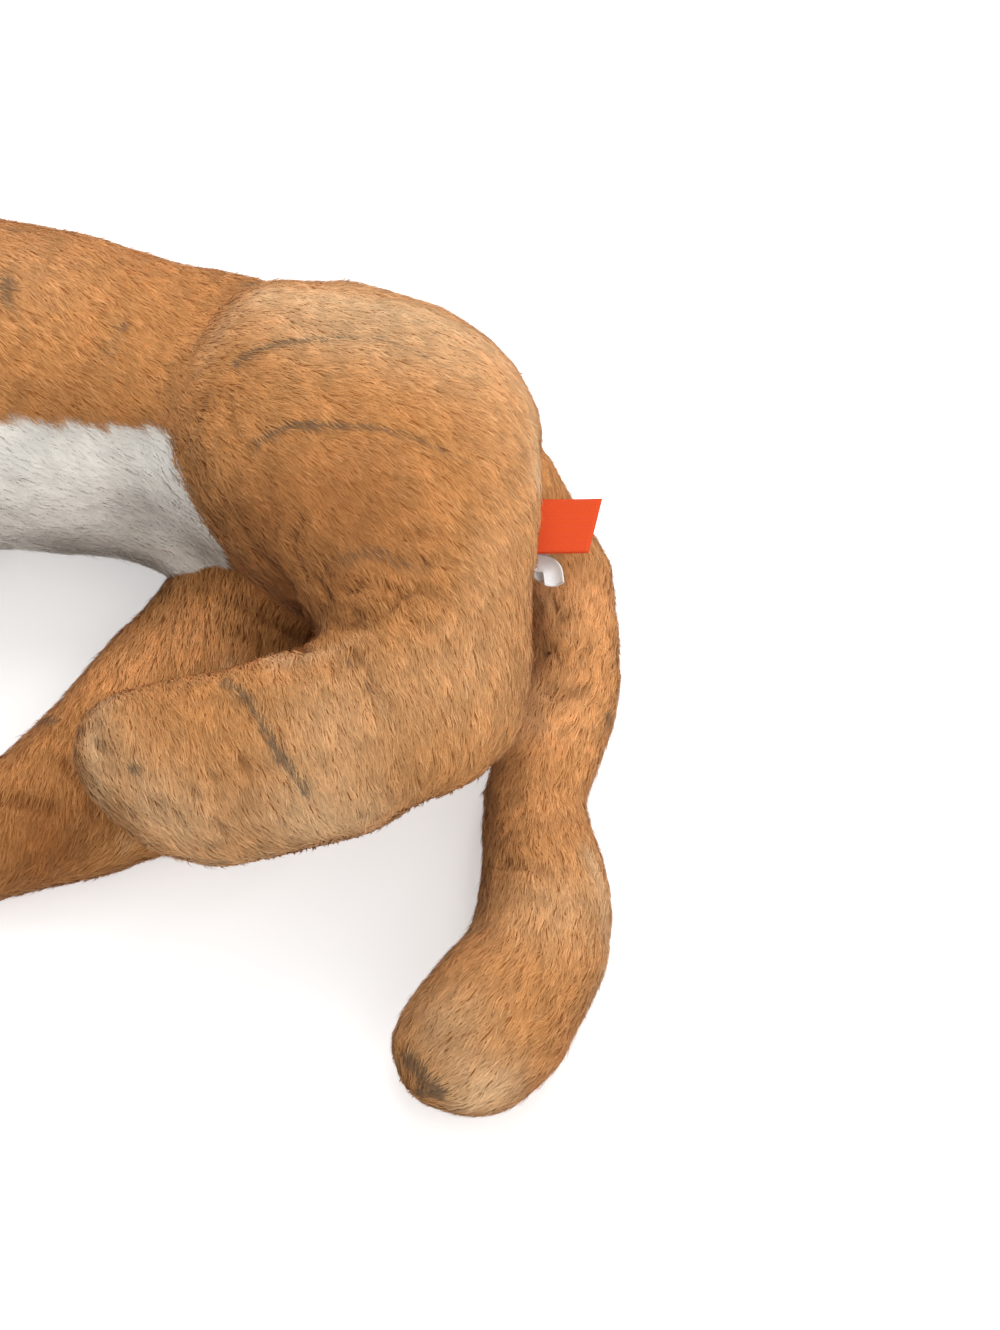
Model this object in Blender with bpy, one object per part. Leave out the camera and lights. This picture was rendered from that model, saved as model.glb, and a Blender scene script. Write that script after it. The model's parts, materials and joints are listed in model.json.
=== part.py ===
"""Plush tiger lying on its right side: sewn fabric panels, stuffing, eyes, nose and seam labels.

Metres, +Z up. The head points to -Y, the toy's left flank points up and its belly to +X.
The origin lies on the flat under the belly, where the trunk rests.
"""
import math

import bmesh
import bpy
from mathutils import Matrix, Vector
from mathutils.bvhtree import BVHTree

# Fits
GAP = 0.0003
FLAT_DEPTH = 0.0005
SKIN = 0.0024
OVERRUN = 0.3

# Pose
ROLL = math.radians(78)
HEAD_ROLL = math.radians(40)
RING_POWER = 2.25
ROUND_POWER = 2

# Trunk
TRUNK_RADIUS = 0.054
TRUNK_SEGMENTS = 20
TRUNK_AXIS_Z = 0.051
RUMP_Y = 0.129
NECK_Y = -0.120
# Each row: place from rump to neck as a share of the length, radius and shift towards the
# spine as shares of the trunk's radius, and 1 where the trunk rests on the floor
TRUNK_STATION_SHARES = (
    (0.012, 0.29, 0.0, 0),
    (0.04, 0.55, 0.0, 0),
    (0.088, 0.76, 0.0, 0),
    (0.16, 0.90, 0.0, 0),
    (0.257, 0.94, 0.03, 1),
    (0.37, 0.90, 0.13, 1),
    (0.46, 0.865, 0.19, 1),
    (0.565, 0.94, 0.14, 1),
    (0.68, 1.0, 0.085, 1),
    (0.79, 0.985, 0.04, 1),
    (0.888, 0.91, 0.02, 0),
    (0.956, 0.80, 0.0, 0),
    (1.02, 0.70, 0.0, 0),
)
NECK_RUN = 0.012
BELLY_SEAM_LOW = math.radians(-70)
BELLY_SEAM_HIGH = math.radians(45)
BELLY_SEAM_SHIFT = 0.0100
BELLY_SEAM_RISE = 0.0360
BACK_SEAM = math.radians(168)
GUSSET_DEPTH = 0.0095
# How far the trunk has shifted towards the spine above the origin, as a share of its radius
ORIGIN_SHIFT_SHARE = 0.163

# Hips and shoulders
HIP_Y = 0.076
SHOULDER_Y = -0.0785
SHOULDER_DROP = 0.007
LIMB_SEGMENTS = 10
UPPER_PLANE = 0.013
LOWER_PLANE_Z = 0.0355
POCKET_SEGMENTS = 32
LOWER_SEAM_Z = 0.0175
# Each row: front outline (forward, ventral), back outline (forward, ventral) and half
# thickness, all as shares of the limb's reach from its joint
LEFT_HIND_REACH = 0.135
LEFT_HIND_POCKET = 0.0595
LEFT_HIND_LAYER = 0.0345
LEFT_HIND_RIB_SHARES = (
    (0.19, -0.36, -0.14, -0.36, 0.09),
    (0.31, -0.29, -0.25, -0.30, 0.14),
    (0.39, -0.17, -0.36, -0.18, 0.17),
    (0.42, -0.03, -0.41, -0.04, 0.18),
    (0.39, 0.09, -0.42, 0.09, 0.18),
    (0.30, 0.19, -0.45, 0.21, 0.18),
    (0.18, 0.27, -0.48, 0.33, 0.17),
    (0.05, 0.35, -0.51, 0.43, 0.16),
    (-0.03, 0.41, -0.53, 0.54, 0.155),
    (-0.03, 0.45, -0.46, 0.67, 0.155),
    (0.02, 0.49, -0.34, 0.79, 0.155),
    (0.08, 0.53, -0.19, 0.90, 0.155),
    (0.15, 0.59, -0.02, 0.96, 0.155),
    (0.23, 0.64, 0.11, 0.99, 0.15),
    (0.31, 0.68, 0.23, 0.96, 0.13),
    (0.36, 0.75, 0.32, 0.89, 0.09),
)
LEFT_HIND_END_SHARES = ((0.03, -0.385), (0.372, 0.82))

RIGHT_HIND_REACH = 0.185
RIGHT_HIND_POCKET = 0.066
RIGHT_HIND_ROOT = 0.0585
RIGHT_HIND_RIB_SHARES = (
    (0.11, -0.25, -0.11, -0.25, 0.06),
    (0.22, -0.17, -0.21, -0.17, 0.09),
    (0.29, -0.05, -0.26, -0.05, 0.105),
    (0.29, 0.07, -0.26, 0.09, 0.107),
    (0.305, 0.14, -0.23, 0.21, 0.10),
    (0.342, 0.215, -0.17, 0.34, 0.094),
    (0.37, 0.315, -0.09, 0.46, 0.094),
    (0.388, 0.42, 0.02, 0.57, 0.094),
    (0.41, 0.49, 0.13, 0.66, 0.094),
    (0.44, 0.55, 0.22, 0.72, 0.094),
    (0.48, 0.62, 0.30, 0.77, 0.094),
    (0.53, 0.68, 0.38, 0.82, 0.09),
    (0.585, 0.73, 0.47, 0.85, 0.07),
)
RIGHT_HIND_END_SHARES = ((0.0, -0.275), (0.565, 0.82))

FRONT_REACH = 0.17
FRONT_POCKET = 0.0430
FRONT_LAYER = 0.0325
FRONT_LEAN = math.radians(27)
FRONT_CHANNEL_HALF = 0.034
FRONT_RIB_SHARES = (
    (0.105, -0.215, -0.105, -0.215, 0.06),
    (0.195, -0.14, -0.195, -0.14, 0.095),
    (0.238, -0.035, -0.238, -0.035, 0.115),
    (0.235, 0.055, -0.23, 0.075, 0.115),
    (0.215, 0.115, -0.185, 0.155, 0.112),
    (0.23, 0.15, -0.11, 0.215, 0.108),
    (0.26, 0.20, -0.025, 0.275, 0.104),
    (0.32, 0.32, 0.065, 0.45, 0.101),
    (0.375, 0.44, 0.135, 0.565, 0.101),
    (0.435, 0.54, 0.18, 0.67, 0.101),
    (0.49, 0.625, 0.21, 0.76, 0.101),
    (0.52, 0.71, 0.265, 0.835, 0.095),
    (0.505, 0.78, 0.33, 0.865, 0.07),
)
FRONT_END_SHARES = ((0.0, -0.238), (0.43, 0.85))

# Tail
TAIL_ROOT = (-0.014, 0.120, 0.0512)
TAIL_ROOT_RADIUS = 0.0148
TAIL_LENGTH = 0.22
TAIL_TIP_RADIUS = 0.024
TAIL_FLATNESS_SHARE = 0.86
TAIL_SEGMENTS = 10
TAIL_START_TURN = math.radians(45)
TAIL_CLEARANCE = 0.006
TAIL_ROOM_START = 0.006
# Each row: place from the root along +X and +Y as shares of the tail's length, height left
# to fall as a share of the root's, half width as a share of the tip's
TAIL_ROUTE_SHARES = (
    (0.0, 0.0, 1.0, 0.615),
    (0.012, 0.057, 0.85, 0.61),
    (0.048, 0.098, 0.60, 0.63),
    (0.113, 0.127, 0.34, 0.65),
    (0.193, 0.139, 0.12, 0.68),
    (0.283, 0.137, 0.0, 0.69),
    (0.373, 0.137, 0.0, 0.71),
    (0.463, 0.17, 0.0, 0.83),
    (0.543, 0.20, 0.0, 0.90),
    (0.613, 0.21, 0.0, 0.96),
    (0.673, 0.195, 0.0, 1.0),
    (0.743, 0.17, 0.0, 0.98),
    (0.80, 0.142, 0.0, 0.76),
)
TAIL_END_SHARES = (0.84, 0.12)

# Head, measured from its middle: left, back and up
HEAD_Y = -0.167
HEAD_LIFT = 0.0011
HEAD_HALF_WIDTH = 0.0565
HEAD_HALF_LENGTH = 0.064
HEAD_SEGMENTS = 18
# Each row: place back from the middle as a share of the half length, then rise, half width
# and half height as shares of the half width
HEAD_STATION_SHARES = (
    (0.84, 0.0, 0.50, 0.48),
    (0.66, 0.02, 0.76, 0.72),
    (0.42, 0.05, 0.93, 0.87),
    (0.14, 0.07, 1.0, 0.92),
    (-0.14, 0.05, 0.99, 0.88),
    (-0.38, 0.0, 0.89, 0.78),
    (-0.56, -0.09, 0.71, 0.64),
    (-0.72, -0.17, 0.54, 0.50),
    (-0.87, -0.20, 0.42, 0.38),
    (-0.97, -0.21, 0.25, 0.23),
)
HEAD_BACK_SHARE = 0.94
MUZZLE_END_SHARES = (-1.02, -0.21)
MUZZLE_SEAM_SHARE = -0.60
EAR_WIDTH = 0.034
EAR_HEIGHT = 0.027
EAR_WALL = 0.0034
EAR_ROOT = 0.012
EAR_SPREAD = math.radians(41)
EAR_RADIAL = 0.060
EAR_BACK = 0.012
EAR_SEGMENTS = 14

# Eyes and nose: a domed cap, its post through the fabric and a washer inside
EYE_RADIUS = 0.0062
EYE_DOME = 0.0040
EYE_SPREAD = 0.021
EYE_RISE = 0.010
NOSE_RADIUS = 0.0075
NOSE_DOME = 0.0036
NOSE_RISE = -0.0035
POST_RADIUS = 0.0016
POST_LENGTH = 0.011
WASHER_RADIUS = 0.0052
WASHER_WALL = 0.0016
TURNED_SEGMENTS = 16
DOME_STEPS = 4
MOUTH_THREAD_RADIUS = 0.0006
MOUTH_HALF_WIDTH = 0.011
MOUTH_DROP = 0.0135
MOUTH_LIFT = 0.0045
MOUTH_STEPS = 14
THREAD_SIDES = 6

# Seam labels: a looped woven one and two narrow care strips
LABEL_WIDTH = 0.0185
LABEL_LENGTH = 0.0160
LABEL_WALL = 0.0012
LABEL_DROP = 0.0004
LABEL_SHIFT = 0.0010
LABEL_TUCK = 0.0053
CARE_WIDTH = 0.0070
CARE_LENGTH = 0.0125
CARE_WALL = 0.0006
CARE_FIRST_DROP = 0.0017
CARE_STEP = 0.0017
CARE_SHIFT = 0.0023
CARE_TILT = math.radians(9)
LABEL_BEND_STEPS = 5
LABEL_CURL = 0.0016

FINISHES = {
    "orange_plush": ((0.56, 0.29, 0.12), 0.95),
    "white_plush": ((0.78, 0.76, 0.71), 0.95),
    "filling": ((0.86, 0.86, 0.84), 1.0),
    "ear_lining": ((0.80, 0.74, 0.66), 0.95),
    "dark_plastic": ((0.02, 0.015, 0.012), 0.15),
    "nose_plastic": ((0.10, 0.04, 0.035), 0.35),
    "clear_plastic": ((0.75, 0.75, 0.72), 0.4),
    "dark_thread": ((0.03, 0.025, 0.02), 0.8),
    "red_label": ((0.72, 0.09, 0.03), 0.7),
    "white_label": ((0.80, 0.80, 0.78), 0.6),
}


def clear_scene():
    """Remove every object that the file opens with."""
    for old in list(bpy.data.objects):
        bpy.data.objects.remove(old, do_unlink=True)


def limb_frame():
    """Return the toy's forward, ventral and left directions for its lying pose."""
    forward = Vector((0, -1, 0))
    ventral = Vector((math.sin(ROLL), 0, -math.cos(ROLL)))
    left = Vector((math.cos(ROLL), 0, math.sin(ROLL)))
    return forward, ventral, left


def floor_frame():
    """Return forward, ventral and upward for a limb that lies flat on the floor."""
    return Vector((0, -1, 0)), Vector((1, 0, 0)), Vector((0, 0, 1))


def make_mesh(name, bm):
    """Turn a bmesh into a linked object with outward faces."""
    bmesh.ops.recalc_face_normals(bm, faces=bm.faces)
    mesh = bpy.data.meshes.new(name)
    bm.to_mesh(mesh)
    bm.free()
    made = bpy.data.objects.new(name, mesh)
    bpy.context.collection.objects.link(made)
    return made


def loft(name, rings, first_pole, last_pole):
    """Skin a row of rings and close both ends on a pole."""
    bm = bmesh.new()
    rows = [[bm.verts.new(point) for point in ring] for ring in rings]
    count = len(rows[0])
    for near, far in zip(rows, rows[1:]):
        for i in range(count):
            j = (i + 1) % count
            bm.faces.new((near[i], near[j], far[j], far[i]))
    for row, pole in ((rows[0], first_pole), (rows[-1], last_pole)):
        tip = bm.verts.new(pole)
        for i in range(count):
            bm.faces.new((row[i], row[(i + 1) % count], tip))
    bmesh.ops.triangulate(bm, faces=bm.faces)
    return make_mesh(name, bm)


def prism(name, outline, start, end):
    """Extrude a closed outline of points from one offset to another."""
    bm = bmesh.new()
    low = [bm.verts.new(point + start) for point in outline]
    high = [bm.verts.new(point + end) for point in outline]
    bm.faces.new(low)
    bm.faces.new(high)
    count = len(outline)
    for i in range(count):
        j = (i + 1) % count
        bm.faces.new((low[i], low[j], high[j], high[i]))
    return make_mesh(name, bm)


def slab(name, point, normal, depth=OVERRUN):
    """Make a large block whose face lies at a point and which reaches along the normal."""
    side = normal.orthogonal().normalized() * OVERRUN
    cross = normal.cross(side)
    corners = [point + side + cross, point - side + cross, point - side - cross, point + side - cross]
    return prism(name, corners, Vector((0, 0, 0)), normal * depth)


def disc(name, centre, normal, radius, low, high, segments):
    """Make a cylinder about an axis, between two offsets along it."""
    side = normal.orthogonal().normalized()
    cross = normal.cross(side)
    outline = []
    for i in range(segments):
        turn = math.tau * i / segments
        outline.append(centre + (side * math.cos(turn) + cross * math.sin(turn)) * radius)
    return prism(name, outline, normal * low, normal * high)


def floor_block():
    """Make the block below the floor, which flattens what rests there."""
    return slab("floor", Vector((0, 0, 0)), Vector((0, 0, -1)))


def combine(target, cutter, operation, keep_cutter=False):
    """Apply one Boolean to the target's mesh."""
    step = target.modifiers.new("combine", "BOOLEAN")
    step.object = cutter
    step.operation = operation
    step.solver = "EXACT"
    graph = bpy.context.evaluated_depsgraph_get()
    result = bpy.data.meshes.new_from_object(target.evaluated_get(graph))
    target.modifiers.clear()
    target.data = result
    if not keep_cutter:
        bpy.data.objects.remove(cutter, do_unlink=True)
    return target


def cut(target, *cutters):
    """Take each cutter away from the target."""
    for cutter in cutters:
        combine(target, cutter, "DIFFERENCE")
    return target


def duplicate(source, name):
    """Copy an object with a mesh of its own."""
    made = bpy.data.objects.new(name, source.data.copy())
    bpy.context.collection.objects.link(made)
    return made


def discard(*spares):
    """Remove helper solids."""
    for spare in spares:
        bpy.data.objects.remove(spare, do_unlink=True)


def dress(piece, finish, pivot=None):
    """Give a piece its own material, smooth shading and its joint's empty as parent."""
    colour, roughness = FINISHES[finish]
    material = bpy.data.materials.new(piece.name + "_finish")
    material.use_nodes = True
    shader = material.node_tree.nodes["Principled BSDF"]
    shader.inputs["Base Color"].default_value = (*colour, 1)
    shader.inputs["Roughness"].default_value = roughness
    shader.inputs["Metallic"].default_value = 0
    piece.data.materials.clear()
    piece.data.materials.append(material)
    piece.data.shade_smooth()
    piece.data.set_sharp_from_angle(angle=math.radians(50))
    if pivot is not None:
        piece.parent = pivot
        piece.matrix_parent_inverse = pivot.matrix_world.inverted()
    return piece


def make_pivot(name, place):
    """Put an empty on a joint's axis."""
    pivot = bpy.data.objects.new(name, None)
    pivot.location = place
    bpy.context.collection.objects.link(pivot)
    bpy.context.view_layer.update()
    return pivot


def oval(centre, axis_a, axis_b, half_a, half_b, count, power=RING_POWER):
    """Return a ring of points on an oval, which a higher power squares."""
    points = []
    for i in range(count):
        turn = math.tau * i / count
        c, s = math.cos(turn), math.sin(turn)
        a = math.copysign(abs(c) ** (2 / power), c) * half_a
        b = math.copysign(abs(s) ** (2 / power), s) * half_b
        points.append(centre + axis_a * a + axis_b * b)
    return points


# Trunk

def trunk_loft(name, inset):
    """Make the trunk's closed form, drawn in by an inset."""
    length = RUMP_Y - NECK_Y
    rings = []
    dorsal = -limb_frame()[1]
    for place_share, radius_share, shift_share, rests in TRUNK_STATION_SHARES:
        radius = TRUNK_RADIUS * radius_share
        centre = Vector((0, RUMP_Y - length * place_share, TRUNK_AXIS_Z))
        centre += dorsal * (TRUNK_RADIUS * shift_share)
        if rests:
            centre.z = radius - FLAT_DEPTH
        size = radius - inset
        rings.append(oval(centre, Vector((1, 0, 0)), Vector((0, 0, 1)), size, size, TRUNK_SEGMENTS,
                          ROUND_POWER))
    rump = Vector((0, RUMP_Y - inset, TRUNK_AXIS_Z))
    neck = Vector((0, NECK_Y - NECK_RUN, TRUNK_AXIS_Z))
    return loft(name, rings, rump, neck)


def seam_block(angle, shift, rise, turn, margin):
    """Make the block past a seam that runs along the trunk at an angle about its axis.

    The turn is 1 for the block on the higher angles' side and -1 for the other. The seam's
    plane misses the axis by the shift at mid length, and rises from the neck to the rump.
    """
    length = RUMP_Y - NECK_Y
    across = Vector((-math.sin(angle), 0, math.cos(angle)))
    normal = (across - Vector((0, rise / length, 0))).normalized()
    middle = Vector((0, (RUMP_Y + NECK_Y) / 2, TRUNK_AXIS_Z)) + across * shift
    return slab("seam", middle - normal * (turn * margin), normal * turn)


def hip_pivot(lying):
    """Return the point of a hip's axis that its leg is measured from."""
    return Vector((0, HIP_Y, 0 if lying else TRUNK_AXIS_Z))


def shoulder_pivot(lying):
    """Return the point of a shoulder's axis that its leg is measured from."""
    ventral = (floor_frame() if lying else limb_frame())[1]
    return Vector((0, SHOULDER_Y, 0 if lying else TRUNK_AXIS_Z)) + ventral * SHOULDER_DROP


def keyhole(pivot, frame, low, high):
    """Make a round socket with the room through which a front leg leaves the chest."""
    forward, ventral, side = frame
    along = ventral * math.cos(FRONT_LEAN) + forward * math.sin(FRONT_LEAN)
    across = side.cross(along).normalized()
    mouth = math.asin(FRONT_CHANNEL_HALF / FRONT_POCKET)
    outline = []
    for i in range(POCKET_SEGMENTS + 1):
        turn = mouth + (math.tau - 2 * mouth) * i / POCKET_SEGMENTS
        outline.append(pivot + (along * math.cos(turn) + across * math.sin(turn)) * FRONT_POCKET)
    outline.append(pivot - across * FRONT_CHANNEL_HALF + along * OVERRUN)
    outline.append(pivot + across * FRONT_CHANNEL_HALF + along * OVERRUN)
    return prism("keyhole", outline, side * low, side * high)


def trunk_cutters():
    """Make what the limbs, the tail and the neck take from the trunk."""
    left = limb_frame()[2]
    up = Vector((0, 0, 1))
    half = GAP / 2
    above = (UPPER_PLANE - half, OVERRUN)
    below = (-OVERRUN, LOWER_PLANE_Z + half)
    cutters = [
        disc("pocket", hip_pivot(False), left, LEFT_HIND_POCKET, *above, POCKET_SEGMENTS),
        disc("pocket", hip_pivot(True), up, RIGHT_HIND_POCKET, *below, POCKET_SEGMENTS),
        keyhole(shoulder_pivot(False), limb_frame(), *above),
        keyhole(shoulder_pivot(True), floor_frame(), *below),
    ]
    root = Vector(TAIL_ROOT)
    recess = TAIL_ROOT_RADIUS + GAP
    cutters.append(disc("recess", root, up, recess, -OVERRUN, OVERRUN, POCKET_SEGMENTS))
    edge = root + Vector((recess + TAIL_CLEARANCE, -TAIL_ROOM_START, 0))
    far = Vector((OVERRUN, 0, 0))
    back = Vector((0, OVERRUN, 0))
    corner = [edge - far, edge, edge + back, edge + back - far]
    cutters.append(prism("tail_room", corner, up * -OVERRUN, up * OVERRUN))
    cutters.append(slab("neck_plane", Vector((0, NECK_Y + half, 0)), Vector((0, -1, 0))))
    return cutters


def build_trunk():
    """Make the stuffing, the three panels of the trunk and the gusset round the tail."""
    filling = cut(trunk_loft("torso_stuffing", SKIN + GAP), *trunk_cutters())
    dress(filling, "filling")
    high = (BELLY_SEAM_HIGH, BELLY_SEAM_SHIFT, BELLY_SEAM_RISE)
    low = (BELLY_SEAM_LOW, 0, 0)
    back = (BACK_SEAM, 0, 0)
    panels = (
        ("belly_panel", low, high, "white_plush"),
        ("back_panel_left", high, back, "orange_plush"),
        ("back_panel_right", back, low, "orange_plush"),
    )
    shell = cut(trunk_loft("shell", 0), floor_block(), trunk_loft("hollow", SKIN), *trunk_cutters())
    backward = Vector((0, 1, 0))
    seam = Vector((0, RUMP_Y - GUSSET_DEPTH, 0))
    gusset = duplicate(shell, "rump_gusset")
    cut(gusset, slab("seam", seam + backward * (GAP / 2), -backward))
    dress(gusset, "orange_plush")
    cut(shell, slab("seam", seam - backward * (GAP / 2), backward))
    for name, first, last, finish in panels:
        panel = duplicate(shell, name)
        cut(panel, seam_block(*first, -1, GAP / 2), seam_block(*last, 1, GAP / 2))
        dress(panel, finish)
    discard(shell)


# Limbs

def limb_loft(name, table, ends, reach, frame, pivot, layer, inset):
    """Make a limb's closed form from its ribs, drawn in by an inset.

    A limb without a layer lies on the floor, so each rib is lifted to rest there.
    """
    forward, ventral, side = frame
    rings = []
    middles = []
    for front_u, front_v, back_u, back_v, thick in table:
        front = (forward * front_u + ventral * front_v) * reach
        back = (forward * back_u + ventral * back_v) * reach
        half_width = (front - back).length / 2 - inset
        half_thick = thick * reach
        lift = half_thick - FLAT_DEPTH if layer is None else layer
        middle = pivot + (front + back) / 2 + side * lift
        middles.append(middle)
        axis = (front - back).normalized()
        rings.append(oval(middle, axis, side, half_width, half_thick - inset, LIMB_SEGMENTS))
    poles = []
    for (u, v), middle in zip(ends, (middles[0], middles[-1])):
        lift = (middle - pivot).dot(side)
        pole = pivot + (forward * u + ventral * v) * reach + side * lift
        poles.append(pole + (middle - pole).normalized() * inset)
    return loft(name, rings, poles[0], poles[1])


def build_limb(name, table, ends, reach, pivot, root_radius, layer):
    """Make a limb's outer panel, inner panel and stuffing on its hinge's empty."""
    lying = layer is None
    frame = floor_frame() if lying else limb_frame()
    side = frame[2]
    plane = LOWER_PLANE_Z if lying else UPPER_PLANE
    outward = -side if lying else side
    seam = pivot + side * (LOWER_SEAM_Z if lying else layer)
    empty = make_pivot(name + "_hinge", pivot)

    def root_cut():
        """Make the block that flattens the limb where it meets the trunk."""
        face = pivot + side * plane
        if lying:
            return disc("root_cut", face, side, root_radius, -GAP / 2, OVERRUN, POCKET_SEGMENTS)
        return disc("root_cut", face, side, OVERRUN, -OVERRUN, GAP / 2, POCKET_SEGMENTS)

    def form(label, inset):
        """Make the limb's closed form, drawn in by an inset."""
        return limb_loft(label, table, ends, reach, frame, pivot, layer, inset)

    filling = cut(form(name + "_stuffing", SKIN + GAP), root_cut())
    dress(filling, "filling", empty)
    shell = cut(form("shell", 0), floor_block(), form("hollow", SKIN), root_cut())
    for part, direction in (("outer_panel", outward), ("inner_panel", -outward)):
        panel = duplicate(shell, f"{name}_{part}")
        cut(panel, slab("seam", seam + direction * (GAP / 2), -direction))
        dress(panel, "orange_plush", empty)
    discard(shell)


def build_limbs():
    """Make the four legs."""
    build_limb("left_hind", LEFT_HIND_RIB_SHARES, LEFT_HIND_END_SHARES, LEFT_HIND_REACH,
               hip_pivot(False), LEFT_HIND_POCKET, LEFT_HIND_LAYER)
    build_limb("right_hind", RIGHT_HIND_RIB_SHARES, RIGHT_HIND_END_SHARES, RIGHT_HIND_REACH,
               hip_pivot(True), RIGHT_HIND_ROOT, None)
    build_limb("left_front", FRONT_RIB_SHARES, FRONT_END_SHARES, FRONT_REACH,
               shoulder_pivot(False), FRONT_POCKET, FRONT_LAYER)
    build_limb("right_front", FRONT_RIB_SHARES, FRONT_END_SHARES, FRONT_REACH,
               shoulder_pivot(True), FRONT_POCKET, None)


# Tail

def tail_loft(name, inset, open_root):
    """Make the tail's form along its route, drawn in by an inset."""
    root = Vector(TAIL_ROOT)
    places = []
    halves = []
    for along_x, along_y, left_to_fall, width_share in TAIL_ROUTE_SHARES:
        half_width = TAIL_TIP_RADIUS * width_share
        half_height = half_width * (TAIL_FLATNESS_SHARE + (1 - TAIL_FLATNESS_SHARE) * left_to_fall)
        rest_z = half_height - FLAT_DEPTH
        z = rest_z + (root.z - rest_z) * left_to_fall
        places.append(Vector((root.x + TAIL_LENGTH * along_x, root.y + TAIL_LENGTH * along_y, z)))
        halves.append((half_width, half_height))
    up = Vector((0, 0, 1))
    rings = []
    first = (places[1] - places[0]).normalized()
    across = up.cross(first).normalized()
    start = TAIL_ROOT_RADIUS * math.sin(TAIL_START_TURN)
    ball = TAIL_ROOT_RADIUS - inset
    small = ball * math.cos(TAIL_START_TURN)
    rings.append(oval(root - first * start, across, first.cross(across), small, small, TAIL_SEGMENTS,
                      ROUND_POWER))
    for i, place in enumerate(places):
        before = places[max(i - 1, 0)]
        after = places[min(i + 1, len(places) - 1)]
        along = (after - before).normalized()
        across = up.cross(along).normalized()
        rise = along.cross(across)
        half_width, half_height = halves[i] if i else (TAIL_ROOT_RADIUS, TAIL_ROOT_RADIUS)
        rings.append(oval(place, across, rise, half_width - inset, half_height - inset, TAIL_SEGMENTS,
                          ROUND_POWER))
    root_pole = root - first * (2 * TAIL_ROOT_RADIUS if open_root else ball)
    end_x, end_y = TAIL_END_SHARES
    tip = Vector((root.x + TAIL_LENGTH * end_x, root.y + TAIL_LENGTH * end_y, places[-1].z))
    tip += (places[-1] - tip).normalized() * inset
    return loft(name, rings, root_pole, tip)


def build_tail():
    """Make the tail's skin, open at its root, and its stuffing."""
    empty = make_pivot("tail_hinge", TAIL_ROOT)
    skin = cut(tail_loft("tail_skin", 0, False), floor_block(), tail_loft("hollow", SKIN, True))
    dress(skin, "orange_plush", empty)
    filling = tail_loft("tail_stuffing", SKIN + GAP, False)
    dress(filling, "filling", empty)


# Head

def head_matrix():
    """Place the head's own frame, with left, back and up, in the world."""
    turn = Matrix.Rotation(-HEAD_ROLL, 4, "Y")
    return Matrix.Translation(Vector((0, HEAD_Y, TRUNK_AXIS_Z + HEAD_LIFT))) @ turn


def head_loft(name, inset):
    """Make the head's form in its own frame, drawn in by an inset."""
    rings = []
    for back_share, rise_share, wide_share, high_share in HEAD_STATION_SHARES:
        centre = Vector((0, HEAD_HALF_LENGTH * back_share, HEAD_HALF_WIDTH * rise_share))
        wide = HEAD_HALF_WIDTH * wide_share - inset
        high = HEAD_HALF_WIDTH * high_share - inset
        rings.append(oval(centre, Vector((1, 0, 0)), Vector((0, 0, 1)), wide, high, HEAD_SEGMENTS))
    back = Vector((0, HEAD_HALF_LENGTH * HEAD_BACK_SHARE - inset, 0))
    end_y, end_z = MUZZLE_END_SHARES
    front = Vector((0, HEAD_HALF_LENGTH * end_y + inset, HEAD_HALF_WIDTH * end_z))
    return loft(name, rings, back, front)


def surface_hit(tree, origin, direction):
    """Return the outermost point of the head on a line, and the surface's normal there."""
    point, normal, _, _ = tree.ray_cast(origin + direction * OVERRUN, -direction)
    return point, normal


def turned(name, place, direction, profile):
    """Turn a profile of radius and height pairs about a direction."""
    side = direction.orthogonal().normalized()
    cross = direction.cross(side)
    rings = []
    for radius, height in profile[1:-1]:
        ring = []
        for i in range(TURNED_SEGMENTS):
            turn = math.tau * i / TURNED_SEGMENTS
            spoke = side * math.cos(turn) + cross * math.sin(turn)
            ring.append(place + direction * height + spoke * radius)
        rings.append(ring)
    return loft(name, rings, place + direction * profile[0][1], place + direction * profile[-1][1])


def cap_profile(radius, dome):
    """Return the profile of a domed cap with a post behind it."""
    profile = [(0, -POST_LENGTH), (POST_RADIUS, -POST_LENGTH), (POST_RADIUS, GAP), (radius, GAP)]
    for i in range(1, DOME_STEPS):
        turn = math.pi / 2 * i / DOME_STEPS
        profile.append((radius * math.cos(turn), GAP + dome * math.sin(turn)))
    profile.append((0, GAP + dome))
    return profile


def build_cap(name, tree, origin, direction, radius, dome, finish):
    """Make a cap on the head with its washer, and return the cutters for its post."""
    point, normal = surface_hit(tree, origin, direction)
    cap = turned(name, point, normal, cap_profile(radius, dome))
    low = -POST_LENGTH + WASHER_WALL
    high = low + WASHER_WALL
    washer = disc(name + "_washer", point, normal, WASHER_RADIUS, low, high, TURNED_SEGMENTS)
    bore = POST_RADIUS + GAP
    cut(washer, disc("bore", point, normal, bore, -OVERRUN, OVERRUN, TURNED_SEGMENTS))
    hole = disc("hole", point, normal, bore, -POST_LENGTH - GAP, OVERRUN, TURNED_SEGMENTS)
    room = disc("room", point, normal, WASHER_RADIUS + GAP, low - GAP, high + GAP, TURNED_SEGMENTS)
    seat = disc("seat", point, normal, radius + GAP, 0, OVERRUN, TURNED_SEGMENTS)
    return (cap, finish), (washer, "clear_plastic"), (hole, room, seat)


def ear_outline(width, height):
    """Return the ear's rounded outline, root down."""
    points = [Vector((-width / 2, 0, -EAR_ROOT)), Vector((width / 2, 0, -EAR_ROOT))]
    for i in range(EAR_SEGMENTS + 1):
        turn = math.pi * i / EAR_SEGMENTS
        points.append(Vector((width / 2 * math.cos(turn), 0, height * math.sin(turn))))
    return points


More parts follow.
